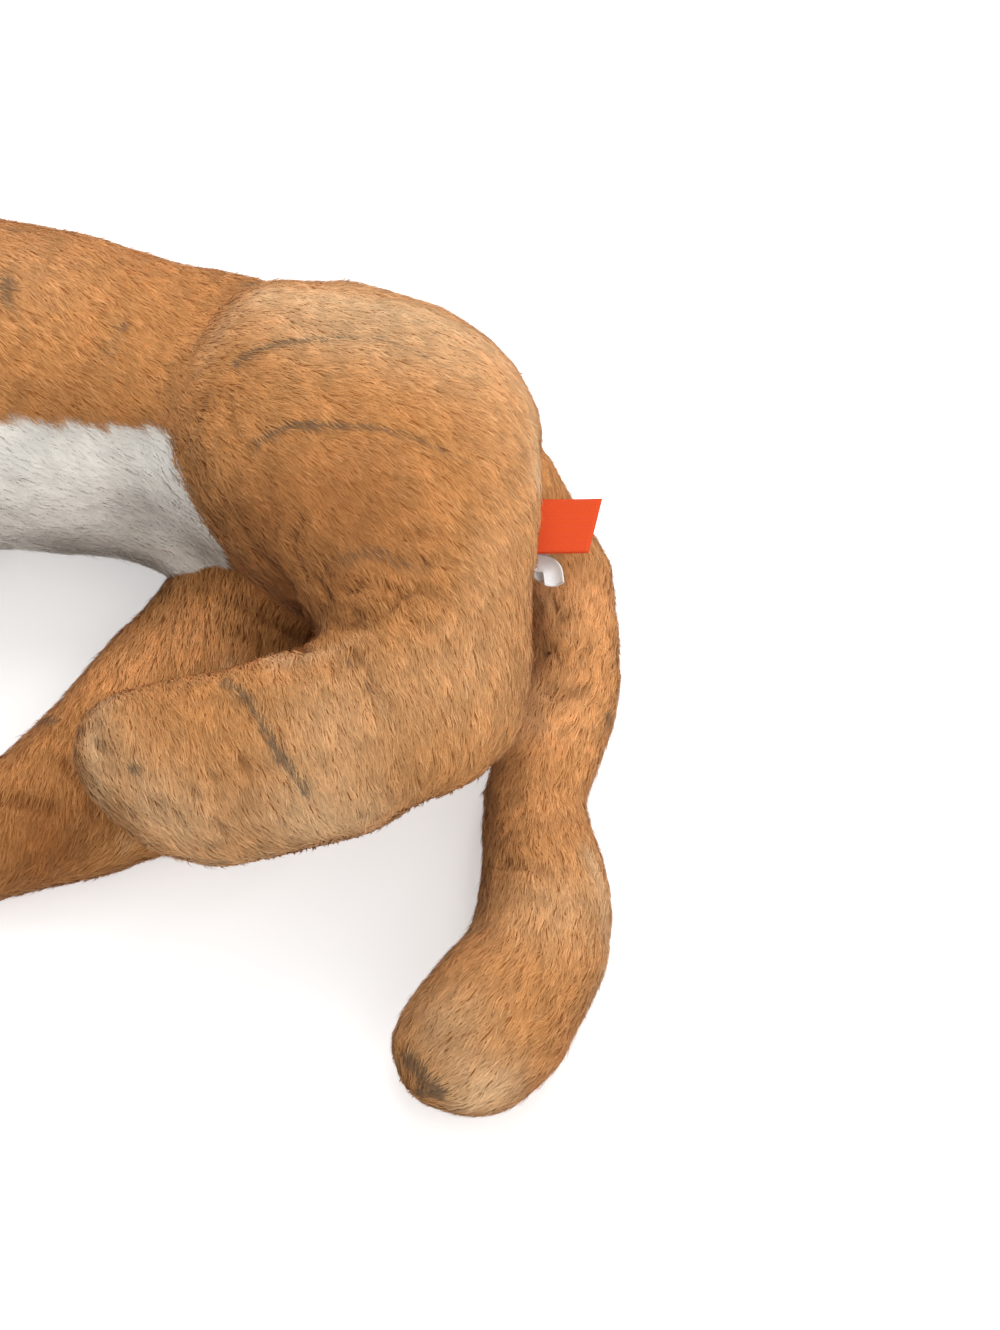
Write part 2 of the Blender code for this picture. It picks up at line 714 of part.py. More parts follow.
def build_ear(name, sign):
    """Make an ear's back and lining, standing on the head."""
    seat = Matrix.Translation(Vector((0, EAR_BACK, EAR_RADIAL - EAR_ROOT / 2)))
    place = Matrix.Rotation(sign * EAR_SPREAD, 4, "Y") @ seat
    pieces = []
    back = Vector((0, 1, 0))
    outline = [place @ point for point in ear_outline(EAR_WIDTH, EAR_HEIGHT)]
    smaller = ear_outline(EAR_WIDTH - 2 * EAR_WALL, EAR_HEIGHT - EAR_WALL)
    lining = [place @ point for point in smaller]
    pieces.append((prism(name + "_ear_back", outline, back * GAP, back * EAR_WALL), "orange_plush"))
    inside = prism(name + "_ear_lining", lining, back * -EAR_WALL, Vector((0, 0, 0)))
    pieces.append((inside, "ear_lining"))
    for ear, _ in pieces:
        cut(ear, head_loft("head_form", -GAP))
    return pieces


def build_mouth(tree):
    """Lay the mouth's thread on the muzzle: down from one cheek, up to the nose and back."""
    points = []
    for i in range(MOUTH_STEPS + 1):
        share = 2 * i / MOUTH_STEPS - 1
        dip = math.sin(math.pi * abs(share))
        target = Vector((MOUTH_HALF_WIDTH * share, 0, NOSE_RISE - MOUTH_DROP - MOUTH_LIFT * dip))
        points.append(surface_hit(tree, target, Vector((0, -1, 0))))
    rings = []
    for i, (point, normal) in enumerate(points):
        before = points[max(i - 1, 0)][0]
        after = points[min(i + 1, MOUTH_STEPS)][0]
        along = (after - before).normalized()
        across = normal.cross(along).normalized()
        centre = point + normal * (MOUTH_THREAD_RADIUS + GAP)
        size = MOUTH_THREAD_RADIUS
        rings.append(oval(centre, normal, across, size, size, THREAD_SIDES, ROUND_POWER))
    ends = [sum(ring, Vector((0, 0, 0))) / len(ring) for ring in (rings[0], rings[-1])]
    return loft("mouth_thread", rings, ends[0], ends[1])


def build_head():
    """Make the head: stuffing, panels, ears, eyes, nose and mouth."""
    world = head_matrix()
    empty = make_pivot("neck_twist", Vector((0, NECK_Y, TRUNK_AXIS_Z)))
    form = head_loft("form", 0)
    bm = bmesh.new()
    bm.from_mesh(form.data)
    tree = BVHTree.FromBMesh(bm)
    bm.free()
    discard(form)

    forward = Vector((0, -1, 0))
    caps = [
        ("left_eye", Vector((EYE_SPREAD, 0, EYE_RISE)), EYE_RADIUS, EYE_DOME, "dark_plastic"),
        ("right_eye", Vector((-EYE_SPREAD, 0, EYE_RISE)), EYE_RADIUS, EYE_DOME, "dark_plastic"),
        ("nose", Vector((0, 0, NOSE_RISE)), NOSE_RADIUS, NOSE_DOME, "nose_plastic"),
    ]
    pieces = []
    cutters = []
    for name, origin, radius, dome, finish in caps:
        cap, washer, tools = build_cap(name, tree, origin, forward, radius, dome, finish)
        pieces += [cap, washer]
        cutters += tools

    filling = head_loft("head_stuffing", SKIN + GAP)
    floor = floor_block()
    floor.data.transform(world.inverted())
    shell = cut(head_loft("shell", 0), floor, head_loft("hollow", SKIN))
    neck = Vector((0, NECK_Y - HEAD_Y - GAP / 2, 0))
    for target in (filling, shell):
        for tool in cutters:
            combine(target, tool, "DIFFERENCE", keep_cutter=True)
        cut(target, slab("neck_plane", neck, Vector((0, 1, 0))))
    discard(*cutters)

    seam_y = HEAD_HALF_LENGTH * MUZZLE_SEAM_SHARE
    half = GAP / 2
    muzzle = duplicate(shell, "muzzle_panel")
    cut(muzzle, slab("seam", Vector((0, seam_y - half, 0)), Vector((0, 1, 0))))
    pieces.append((muzzle, "white_plush"))
    for name, sign in (("head_panel_left", 1), ("head_panel_right", -1)):
        panel = duplicate(shell, name)
        cut(panel, slab("seam", Vector((0, seam_y + half, 0)), forward))
        cut(panel, slab("middle", Vector((sign * half, 0, 0)), Vector((-sign, 0, 0))))
        pieces.append((panel, "orange_plush"))
    discard(shell)
    pieces.append((filling, "filling"))
    pieces += build_ear("left", 1)
    pieces += build_ear("right", -1)
    pieces.append((build_mouth(tree), "dark_thread"))
    for piece, finish in pieces:
        piece.data.transform(world)
        dress(piece, finish, empty)


# Labels

def curled_strip(name, root, width, length, wall, tilt, curl):
    """Make a thin strip that leaves the rump backwards and curls at its free end."""
    forward, ventral, left = limb_frame()
    bm = bmesh.new()
    rows = []
    for i in range(LABEL_BEND_STEPS + 1):
        share = i / LABEL_BEND_STEPS
        along = length * share
        lift = curl * share * share - along * math.sin(tilt)
        row = []
        for side in (-1, 1):
            for level in (0, -wall):
                place = root + ventral * (side * width / 2) - forward * (along * math.cos(tilt))
                row.append(bm.verts.new(place + left * (level + lift)))
        rows.append(row)
    for near, far in zip(rows, rows[1:]):
        for a, b in ((0, 1), (1, 3), (3, 2), (2, 0)):
            bm.faces.new((near[a], near[b], far[b], far[a]))
    for row in (rows[0], rows[-1]):
        bm.faces.new((row[0], row[1], row[3], row[2]))
    bmesh.ops.triangulate(bm, faces=bm.faces)
    return make_mesh(name, bm)


def build_labels():
    """Make the bare red seam label and the two care strips beside it."""
    _, ventral, left = limb_frame()
    seam = Vector((0, RUMP_Y - LABEL_TUCK, TRUNK_AXIS_Z)) + left * (UPPER_PLANE - LABEL_DROP)
    middle = seam + ventral * LABEL_SHIFT
    length = LABEL_LENGTH + LABEL_TUCK
    label = curled_strip("seam_label", middle, LABEL_WIDTH, length, LABEL_WALL, 0, 0)
    strips = [(label, "red_label")]
    edge = middle + ventral * (LABEL_WIDTH / 2)
    for i, name in enumerate(("care_label_long", "care_label_short")):
        drop = LABEL_WALL + CARE_FIRST_DROP + CARE_STEP * i
        root = edge - ventral * (CARE_SHIFT * i) - left * drop
        strip = curled_strip(name, root, CARE_WIDTH, CARE_LENGTH + LABEL_TUCK, CARE_WALL,
                             CARE_TILT * (i + 1), LABEL_CURL)
        strips.append((strip, "white_label"))
    for strip, finish in strips:
        cut(strip, trunk_loft("trunk_form", -GAP))
        dress(strip, finish)


# Origin

def place_on_origin():
    """Move the toy so that the origin lies in the middle of the flat under the trunk."""
    rest = make_pivot("rest_frame", Vector())
    for piece in list(bpy.data.objects):
        if piece is not rest and piece.parent is None:
            piece.parent = rest
    rest.location.x = TRUNK_RADIUS * ORIGIN_SHIFT_SHARE * math.sin(ROLL)


def main():
    """Build every piece."""
    clear_scene()
    build_trunk()
    build_limbs()
    build_tail()
    build_head()
    build_labels()
    place_on_origin()


main()
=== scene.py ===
"""Looks of a plush tiger that lies on its right side: skins, combed pile, face and seam labels."""
from __future__ import annotations

import json
import logging
import math
from dataclasses import dataclass, field, replace
from enum import Enum
from typing import Callable, Iterable, Sequence

import bmesh
import bpy
import numpy as np
from mathutils import Matrix, Vector, noise
from mathutils.bvhtree import BVHTree


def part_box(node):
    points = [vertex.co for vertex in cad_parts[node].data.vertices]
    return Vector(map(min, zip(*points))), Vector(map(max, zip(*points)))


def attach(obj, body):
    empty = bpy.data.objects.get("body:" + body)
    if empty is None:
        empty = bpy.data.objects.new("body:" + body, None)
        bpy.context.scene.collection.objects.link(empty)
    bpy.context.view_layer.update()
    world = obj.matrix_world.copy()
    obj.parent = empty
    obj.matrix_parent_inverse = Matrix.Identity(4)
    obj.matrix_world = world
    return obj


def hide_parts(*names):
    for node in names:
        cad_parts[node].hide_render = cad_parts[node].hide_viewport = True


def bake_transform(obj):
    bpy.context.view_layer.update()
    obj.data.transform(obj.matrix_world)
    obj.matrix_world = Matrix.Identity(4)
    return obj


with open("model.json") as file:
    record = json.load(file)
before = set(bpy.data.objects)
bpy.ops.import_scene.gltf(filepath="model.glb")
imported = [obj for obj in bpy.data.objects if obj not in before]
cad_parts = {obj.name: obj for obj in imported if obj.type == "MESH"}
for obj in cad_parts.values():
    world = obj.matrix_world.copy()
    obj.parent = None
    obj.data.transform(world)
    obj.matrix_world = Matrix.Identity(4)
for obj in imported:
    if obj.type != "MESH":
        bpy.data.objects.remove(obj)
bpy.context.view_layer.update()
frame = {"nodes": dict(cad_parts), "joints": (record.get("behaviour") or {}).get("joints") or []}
LOG = logging.getLogger("plush_tiger")

Colour = tuple[float, float, float]
Point = tuple[float, float, float]
Pixel = tuple[float, float]
Span = tuple[float, float]

# How far the toy is turned onto its right side, and where its belly and its left flank face
ROLL = math.radians(78)
VENTRAL = Vector((math.sin(ROLL), 0, -math.cos(ROLL)))
LEFT = Vector((math.cos(ROLL), 0, math.sin(ROLL)))
JOINTS = {joint["name"]: Vector(joint["pos_m"]) for joint in frame["joints"]}
FLOOR_REST = 0.0006
AXIS_X = JOINTS["neck"].x
MERGE_DISTANCE = 0.00002
AXIS_Z = 0.051
MARK_RADIUS = 0.05
SEED = 7
# Keeps a division from being by nothing
LEAST = 1e-9


def toy(x: float, y: float, z: float) -> Point:
    """Return a place given from the trunk's own axis in the frame."""
    return (x + AXIS_X, y, z)


# The head's middle, and where its side and its crown face
HEAD_MIDDLE = Vector(toy(0.0, -0.175, AXIS_Z))
HEAD_SIDE = Vector((0.772, 0, 0.636))
HEAD_UP = Vector((-0.636, 0, 0.772))


def on_trunk(y: float, degrees: float) -> Point:
    """Return a place on the trunk by its turn from the left flank towards the spine.

    Args:
        y: how far along the trunk it lies.
        degrees: its turn from the flank.

    Returns:
        The place in the frame.
    """
    turn = math.radians(degrees)
    way = LEFT * math.cos(turn) - VENTRAL * math.sin(turn)
    return tuple(Vector(toy(0, y, AXIS_Z)) + way * MARK_RADIUS)


class Coat(Enum):
    """The cloths that the toy is cut from, by their slot in the record."""

    ORANGE = "orange_plush"
    WHITE = "white_plush"
    LINING = "ear_lining"


class Graph:
    """Adds nodes to a tree and joins them."""

    def __init__(self, tree: bpy.types.NodeTree) -> None:
        """Keep the tree that nodes are added to."""
        self.tree = tree

    def add(self, kind: str, inputs: dict | None = None, **settings: object) -> bpy.types.Node:
        """Add one node.

        Args:
            kind: the node's type name.
            inputs: values or sockets by input name or number.
            settings: properties to set on the node first.

        Returns:
            The new node.
        """
        node = self.tree.nodes.new(kind)
        for name, value in settings.items():
            setattr(node, name, value)
        for key, value in (inputs or {}).items():
            self.feed(node.inputs[key], value)
        return node

    def feed(self, socket: bpy.types.NodeSocket, value: object) -> None:
        """Join a socket to another one, or set its value.

        Args:
            socket: the input socket to feed.
            value: a socket, or a plain value.
        """
        if isinstance(value, bpy.types.NodeSocket):
            self.tree.links.new(value, socket)
        else:
            socket.default_value = value

    def math(self, operation: str, *values: object, clamp: bool = False) -> bpy.types.NodeSocket:
        """Add a maths node and return its result."""
        inputs = dict(enumerate(values))
        return self.add("ShaderNodeMath", inputs, operation=operation, use_clamp=clamp).outputs[0]

    def vector(self, operation: str, *values: object) -> bpy.types.NodeSocket:
        """Add a vector maths node and return its result."""
        inputs = {3 if operation == "SCALE" and i == 1 else i: v for i, v in enumerate(values)}
        return self.add("ShaderNodeVectorMath", inputs, operation=operation).outputs[0]

    def combine(self, *values: object) -> bpy.types.NodeSocket:
        """Join three numbers into a vector."""
        return self.add("ShaderNodeCombineXYZ", dict(enumerate(values))).outputs[0]

    def seen(self, *others: str) -> bpy.types.NodeSocket:
        """Return 1 for camera rays and rays of the other kinds, or else 0.

        Args:
            *others: the other kinds of ray.

        Returns:
            The socket that says so.
        """
        rays = self.add("ShaderNodeLightPath").outputs
        result = rays["Is Camera Ray"]
        for kind in others:
            result = self.math("MAXIMUM", result, rays[f"Is {kind} Ray"])
        return result


class MaterialGraph(Graph):
    """A material's nodes round one Principled shader."""

    def __init__(self, name: str) -> None:
        """Make an empty material with its shader and output.

        Args:
            name: the new material's name.
        """
        self.material = bpy.data.materials.new(name)
        self.material.use_nodes = True
        super().__init__(self.material.node_tree)
        self.shader = self.tree.nodes["Principled BSDF"]

    def attribute(self, name: str) -> bpy.types.NodeSocket:
        """Return the value of a mesh attribute."""
        return self.add("ShaderNodeAttribute", attribute_name=name).outputs["Fac"]

    def noise(self, scale: float, detail: float = 2.0) -> bpy.types.NodeSocket:
        """Return noise on the object's own coordinates, about 0 to 1.

        Args:
            scale: how fine the noise is.
            detail: its octaves.

        Returns:
            The noise's socket.
        """
        place = self.add("ShaderNodeTexCoord").outputs["Object"]
        inputs = {"Vector": place, "Scale": scale, "Detail": detail}
        return self.add("ShaderNodeTexNoise", inputs).outputs["Fac"]

    def mix(self, share: object, first: object, second: object, blend: str = "MIX") -> bpy.types.NodeSocket:
        """Mix two colours and return the result.

        Args:
            share: how much of the second colour.
            first: the first colour or socket.
            second: the second colour or socket.
            blend: the blend type.

        Returns:
            The mixed colour's socket.
        """
        node = self.add("ShaderNodeMix", data_type="RGBA", blend_type=blend)
        self.feed(node.inputs[0], share)
        for socket, value in ((node.inputs[6], first), (node.inputs[7], second)):
            self.feed(socket, (*value, 1) if isinstance(value, tuple) else value)
        return node.outputs[2]

    def span(self, value: object, low: float, high: float) -> bpy.types.NodeSocket:
        """Map 0 to 1 onto low to high."""
        return self.add("ShaderNodeMapRange", {"Value": value, "To Min": low, "To Max": high}).outputs[0]

    def bump(self, height: object, depth: float, strength: float = 1.0) -> None:
        """Bump the surface by a height of 0 to 1 times a depth in metres."""
        node = self.add("ShaderNodeBump", {"Height": height, "Distance": depth, "Strength": strength})
        self.feed(self.shader.inputs["Normal"], node.outputs["Normal"])

    def surface(self, shader: bpy.types.Node) -> None:
        """Show another shader's result in place of the main one's."""
        self.feed(self.tree.nodes["Material Output"].inputs["Surface"], shader.outputs[0])

    def finish(self, colour: object, roughness: float, **constants: float) -> bpy.types.Material:
        """Set the shader's colour, roughness and constants, and return the material.

        Args:
            colour: a colour or a socket.
            roughness: the shader's roughness.
            **constants: other inputs, with _ for each space.

        Returns:
            The finished material.
        """
        self.feed(self.shader.inputs["Base Color"], (*colour, 1) if isinstance(colour, tuple) else colour)
        self.shader.inputs["Roughness"].default_value = roughness
        for name, value in constants.items():
            self.shader.inputs[name.replace("_", " ")].default_value = value
        return self.material


@dataclass(frozen=True)
class PlushFinish:
    """Colours of dyed pile from the backing up to the tips, with painted highlights and painted shade."""

    # The roots are darker than the tips: partly the pile's own colour, partly painted shade for the shadows
    # that the pile doesn't cast
    root: Colour = (0.38, 0.150, 0.038)
    tip: Colour = (0.70, 0.360, 0.130)
    pale_root: Colour = (0.84, 0.82, 0.77)
    pale_tip: Colour = (0.97, 0.955, 0.91)
    ink: Colour = (0.085, 0.068, 0.052)
    # Pale tips of some strands, and the painted highlight
    pale_tips_and_highlight: Colour = (0.76, 0.57, 0.345)
    # Painted shade of the orange pile, and the darker colour of the backing
    deep: Colour = (0.32, 0.118, 0.032)
    # Painted shade of the white pile, and the darker colour of the white backing
    pale_deep: Colour = (0.34, 0.30, 0.25)
    # Painted shade in the creases
    crease: Colour = (0.19, 0.056, 0.009)
    roughness: float = 0.92
    shine: float = 0.2
    sheen: float = 0.06
    glow_through: float = 0.20
    # How far strands differ in brightness: down by the spread, and up by a share of it
    spread: float = 0.20
    upper_share: float = 0.55
    # How strongly the painted light shows: painted highlight one way, painted shade the other
    painted_light_share: float = 0.8
    tipped_from: float = 0.72
    tipped_gain: Span = (0.9, 2.4)
    patch_scale: float = 38.0
    patches: Span = (0.84, 1.14)
    mottle_scale: float = 190.0
    mottle: Span = (0.88, 1.12)
    tufts: Span = (0.88, 1.12)
    pale_spread: float = 0.4
    # The most that painted brightening raises the pile's level
    painted_brightness_most: float = 2.0
    # How much of the painted shade in the creases shows
    crease_shade_share: float = 0.85
    ink_share: float = 0.66
    backing_ink_share: float = 0.7
    backing_roughness: float = 0.95
    backing_shine: float = 0.1
    grain_scale: float = 900.0
    weave_scale: float = 1400.0
    weave_depth: float = 0.0008

    def pile(self, name: str) -> bpy.types.Material:
        """Make the material of the strands.

        Args:
            name: the new material's name.

        Returns:
            The strands' material.
        """
        g = MaterialGraph(name)
        along, shade, tone, pale = map(g.attribute, ("along", "shade", "tone", "pale"))
        # Painted light: its positive part gives a painted highlight and its negative part painted shade
        light = g.math("MULTIPLY", tone, self.painted_light_share, clamp=True)
        dark = g.math("MULTIPLY", tone, -self.painted_light_share, clamp=True)
        # Pale tips on some strands, picked by their random shade, with more pale tip where a highlight is
        # painted
        tipped = g.math("MULTIPLY", g.math("SUBTRACT", shade, self.tipped_from),
                        g.span(light, *self.tipped_gain), clamp=True)
        # Painted highlight towards the pale colour, then the pale tips
        orange = g.mix(light, g.mix(along, self.root, self.tip), self.pale_tips_and_highlight)
        orange = g.mix(g.math("MULTIPLY", tipped, along), orange, self.pale_tips_and_highlight)
        # Painted shade on the orange pile, and then on the white
        orange = g.mix(dark, orange, self.deep)
        white = g.mix(dark, g.mix(along, self.pale_root, self.pale_tip), self.pale_deep)
        colour = g.mix(pale, orange, white)
        level = g.span(shade, 1 - self.spread, 1 + self.spread * self.upper_share)
        patch = g.span(g.noise(self.patch_scale), *self.patches)
        mottle = g.span(g.noise(self.mottle_scale, detail=3.0), *self.mottle)
        level = g.math("MULTIPLY", level, g.math("MULTIPLY", patch, mottle))
        level = g.math("MULTIPLY", level, g.span(g.attribute("tuft"), *self.tufts))
        calm = g.span(pale, 1.0, self.pale_spread)
        level = g.math("ADD", 1.0, g.math("MULTIPLY", g.math("SUBTRACT", level, 1.0), calm))
        # Painted brightening of the pile's level where it is lit
        level = g.math("MULTIPLY", level, g.span(g.attribute("gain"), 1.0, self.painted_brightness_most))
        colour = g.mix(1.0, colour, g.combine(level, level, level), "MULTIPLY")
        # Painted shade in the creases
        colour = self.shaded_in_creases(g, colour)
        colour = g.mix(g.math("MULTIPLY", g.attribute("ink"), self.ink_share), colour, self.ink)
        material = g.finish(colour, self.roughness, Sheen_Weight=self.sheen, Specular_IOR_Level=self.shine)
        through = g.add("ShaderNodeBsdfTranslucent", {"Color": colour}).outputs[0]
        g.surface(g.add("ShaderNodeMixShader", {0: self.glow_through, 1: g.shader.outputs[0], 2: through}))
        return material

    def shaded_in_creases(self, g: MaterialGraph, colour: object) -> bpy.types.NodeSocket:
        """Darken a colour in the creases with painted shade."""
        share = g.math("MULTIPLY", g.attribute("fold"), self.crease_shade_share, clamp=True)
        return g.mix(share, colour, self.crease)

    def backing(self, name: str) -> bpy.types.Material:
        """Make the material of the cloth under the pile, darkened with painted shade under it.

        Args:
            name: the new material's name.

        Returns:
            The cloth's material.
        """
        g = MaterialGraph(name)
        grain = g.noise(self.grain_scale, detail=4.0)
        # The backing's random grain between dark colours: painted shade under the pile
        orange = g.mix(grain, self.deep, self.root)
        white = g.mix(grain, self.pale_deep, self.pale_root)
        colour = self.shaded_in_creases(g, g.mix(g.attribute("pale"), orange, white))
        stripe = g.math("MULTIPLY", g.attribute("stripe"), self.backing_ink_share)
        colour = g.mix(stripe, colour, self.ink)
        g.bump(g.noise(self.weave_scale, detail=3.0), self.weave_depth)
        return g.finish(colour, self.backing_roughness, Sheen_Weight=self.sheen,
                        Specular_IOR_Level=self.backing_shine)


@dataclass(frozen=True)
class MouldedFinish:
    """A moulded plastic with faint unevenness in its gloss."""

    colour: Colour
    deep: Colour
    roughness: float
    coat: float
    shine: float = 0.5
    patch_scale: float = 260.0
    grain_scale: float = 1800.0
    grain_depth: float = 0.00003

    def material(self, name: str) -> bpy.types.Material:
        """Make the material.

        Args:
            name: the new material's name.

        Returns:
            The plastic's material.
        """
        g = MaterialGraph(name)
        colour = g.mix(g.noise(self.patch_scale), self.colour, self.deep)
        g.bump(g.noise(self.grain_scale, detail=3.0), self.grain_depth)
        return g.finish(colour, self.roughness, Coat_Weight=self.coat, Specular_IOR_Level=self.shine)


@dataclass(frozen=True)
class WovenFinish:
    """A close woven ribbon with ribs along its width."""

    # The wave texture's own turns over one unit at scale 1, in radians
    WAVE_RADIANS = 20

    colour: Colour
    shadow: Colour
    rib: float
    roughness: float
    share: float = 0.7
    stain_scale: float = 160.0
    stain_share: float = 0.25
    weave_depth: float = 0.0001
    weave_strength: float = 0.6
    shine: float = 0.25

    def material(self, name: str) -> bpy.types.Material:
        """Make the material, whose ribs follow the ribbon's own UV map.

        Args:
            name: the new material's name.

        Returns:
            The ribbon's material.
        """
        g = MaterialGraph(name)
        place = g.add("ShaderNodeUVMap", uv_map="cloth").outputs["UV"]
        scale = 1 / self.rib * math.tau / self.WAVE_RADIANS
        weave = g.math("MULTIPLY", *(g.add("ShaderNodeTexWave", {"Vector": place, "Scale": scale},
                                           bands_direction=way).outputs["Fac"] for way in "XY"))
        colour = g.mix(g.math("MULTIPLY", weave, self.share), self.shadow, self.colour)
        colour = g.mix(g.span(g.noise(self.stain_scale), 0.0, self.stain_share), colour, self.shadow)
        colour = g.mix(g.math("MULTIPLY", g.attribute("hem"), self.share), colour, self.shadow)
        g.bump(weave, self.weave_depth, self.weave_strength)
        return g.finish(colour, self.roughness, Specular_IOR_Level=self.shine)


@dataclass(frozen=True)
class Lens:
    """The photograph's viewpoint."""

    place: Vector = Vector(toy(0.39445, 0.24503, 0.68688))
    right: Vector = Vector((-0.309017, 0.951057, 0.0))
    up: Vector = Vector((-0.823639, -0.267617, 0.5))
    back: Vector = Vector((0.475528, 0.154509, 0.866025))
    focal_mm: float = 67.0
    sensor_mm: float = 36.0
    frame_wide: float = 1000.0
    frame_high: float = 1330.0

    def ray(self, pixel: Pixel) -> Vector:
        """Return the direction from the camera through a pixel of the frame.

        Args:
            pixel: a place in the photograph's frame.

        Returns:
            A direction of unit length.
        """
        focal = self.focal_mm / self.sensor_mm * self.frame_high
        across = (pixel[0] - self.frame_wide / 2) / focal
        rise = (self.frame_high / 2 - pixel[1]) / focal
        return (self.right * across + self.up * rise - self.back).normalized()

    def build(self) -> None:
        """Put the scene's camera there."""
        data = bpy.data.cameras.new("camera")
        data.lens = self.focal_mm
        data.sensor_width = self.sensor_mm
        camera = bpy.data.objects.new("camera", data)
        turn = Matrix((self.right, self.up, self.back)).transposed()
        camera.matrix_world = Matrix.Translation(self.place) @ turn.to_4x4()
        bpy.context.collection.objects.link(camera)
        bpy.context.scene.camera = camera


@dataclass
class Studio:
    """A pale floor, soft lamps and an even world."""

    floor_half: float = 3.0
    floor_colour: Colour = (0.80, 0.79, 0.78)
    floor_roughness: float = 0.9
    floor_shine: float = 0.1
    floor_glow: float = 0.42
    world_strength: float = 0.80
    key_power: float = 12.0
    key_size: float = 0.9
    key_place: Point = (-0.70, 0.05, 1.20)
    fill_power: float = 8.0
    fill_size: float = 1.2
    fill_place: Point = (0.4, 1.15, 0.9)
    target: Point = (0.04, 0.05, 0.04)

    def build(self) -> None:
        """Build floor, lamps and world."""
        self.build_floor()
        for name, power, size, place in (("key", self.key_power, self.key_size, self.key_place),
                                         ("fill", self.fill_power, self.fill_size, self.fill_place)):
            self.build_lamp(name, power, size, Vector(place))
        self.build_world()

    def build_floor(self) -> None:
        """Build the floor, which the camera sees as almost white."""
        half = self.floor_half
        mesh = bpy.data.meshes.new("floor")
        corners = [(-half, -half, 0), (half, -half, 0), (half, half, 0), (-half, half, 0)]
        mesh.from_pydata(corners, [], [(0, 1, 2, 3)])
        floor = link_mesh("floor", mesh)
        g = MaterialGraph("floor_paint")
        paint = g.finish(self.floor_colour, self.floor_roughness, Specular_IOR_Level=self.floor_shine)
        mesh.materials.append(paint)
        strength = g.math("MULTIPLY", g.seen("Glossy", "Transmission"), self.floor_glow)
        glow = g.add("ShaderNodeEmission", {"Color": (1, 1, 1, 1), "Strength": strength}).outputs[0]
        g.surface(g.add("ShaderNodeAddShader", {0: g.shader.outputs[0], 1: glow}))

    def build_lamp(self, name: str, power: float, size: float, place: Vector) -> None:
        """Build one soft lamp that faces the toy.

        Args:
            name: the lamp's name.
            power: its power in watts.
            size: its side in metres.
            place: where it stands.
        """
        data = bpy.data.lights.new(name, "AREA")
        data.energy = power
        data.size = size
        lamp = bpy.data.objects.new(name, data)
        lamp.location = place
        lamp.rotation_euler = (place - Vector(self.target)).to_track_quat("Z", "Y").to_euler()
        bpy.context.collection.objects.link(lamp)

    def build_world(self) -> None:
        """Light the scene evenly, with white behind everything."""
        world = bpy.data.worlds.new("world")
        world.use_nodes = True
        g = Graph(world.node_tree)
        low = self.world_strength
        strength = g.math("ADD", g.math("MULTIPLY", g.seen("Glossy"), 1 - low), low)
        background = world.node_tree.nodes["Background"].inputs
        g.feed(background["Strength"], strength)
        background["Color"].default_value = (1, 1, 1, 1)
        bpy.context.scene.world = world


def link_mesh(name: str, mesh: bpy.types.Mesh) -> bpy.types.Object:
    """Make an object at the origin for a mesh.

    Args:
        name: the object's name.
        mesh: its mesh.

    Returns:
        The new object.
    """
    made = bpy.data.objects.new(name, mesh)
    bpy.context.collection.objects.link(made)
    return made


def settle(obj: bpy.types.Object) -> bpy.types.Object:
    """Turn an object's modifiers into its plain mesh.

    Args:
        obj: the object with modifiers.

    Returns:
        The same object, with the result as its mesh.
    """
    graph = bpy.context.evaluated_depsgraph_get()
    mesh = bpy.data.meshes.new_from_object(obj.evaluated_get(graph), preserve_all_data_layers=True,
                                           depsgraph=graph)
    obj.modifiers.clear()
    obj.data = mesh
    return obj


def refine(obj: bpy.types.Object, levels: int) -> None:
    """Subdivide an object's mesh smoothly.

    Args:
        obj: the object to refine.
        levels: how many times.
    """
    step = obj.modifiers.new("fine", "SUBSURF")
    step.levels = step.render_levels = levels
    settle(obj)


def finished(bm: bmesh.types.BMesh, name: str) -> bpy.types.Mesh:
    """Write a BMesh to a new mesh and free it.

    Args:
        bm: the finished BMesh.
        name: the mesh's name.

    Returns:
        The new mesh.
    """
    mesh = bpy.data.meshes.new(name)
    bm.to_mesh(mesh)
    bm.free()
    return mesh


def read(items: Iterable, key: str, width: int = 1, kind: type = np.float32) -> np.ndarray:
    """Return one property of all of a mesh's items, in rows where it has several numbers.

    Args:
        items: a mesh's points, loops or values.
        key: the property's name.
        width: how many numbers each has.
        kind: the numbers' type.

    Returns:
        The numbers, in rows if each item has several.
    """
    values = np.empty(len(items) * width, kind)
    items.foreach_get(key, values)
    return values.reshape(-1, width) if width > 1 else values


def coordinates(mesh: bpy.types.Mesh) -> np.ndarray:
    """Return a mesh's points as rows."""
    return read(mesh.vertices, "co", 3, np.float64)


def directions(mesh: bpy.types.Mesh) -> np.ndarray:
    """Return the normals of a mesh's points as rows."""
    return np.array([vertex.normal for vertex in mesh.vertices])


def place_points(mesh: bpy.types.Mesh, points: np.ndarray) -> None:
    """Move a mesh's points to the given rows."""
    mesh.vertices.foreach_set("co", points.astype(np.float32).ravel())
    mesh.update()


def store(mesh: bpy.types.Mesh, name: str, values: np.ndarray) -> None:
    """Keep one number or one vector for each point as a named attribute.

    Args:
        mesh: the mesh.
        name: the attribute's name.
        values: one number or one row for each point.
    """
    kind, key = ("FLOAT_VECTOR", "vector") if values.ndim == 2 else ("FLOAT", "value")
    layer = mesh.attributes.get(name) or mesh.attributes.new(name, kind, "POINT")
    layer.data.foreach_set(key, values.astype(np.float32).ravel())


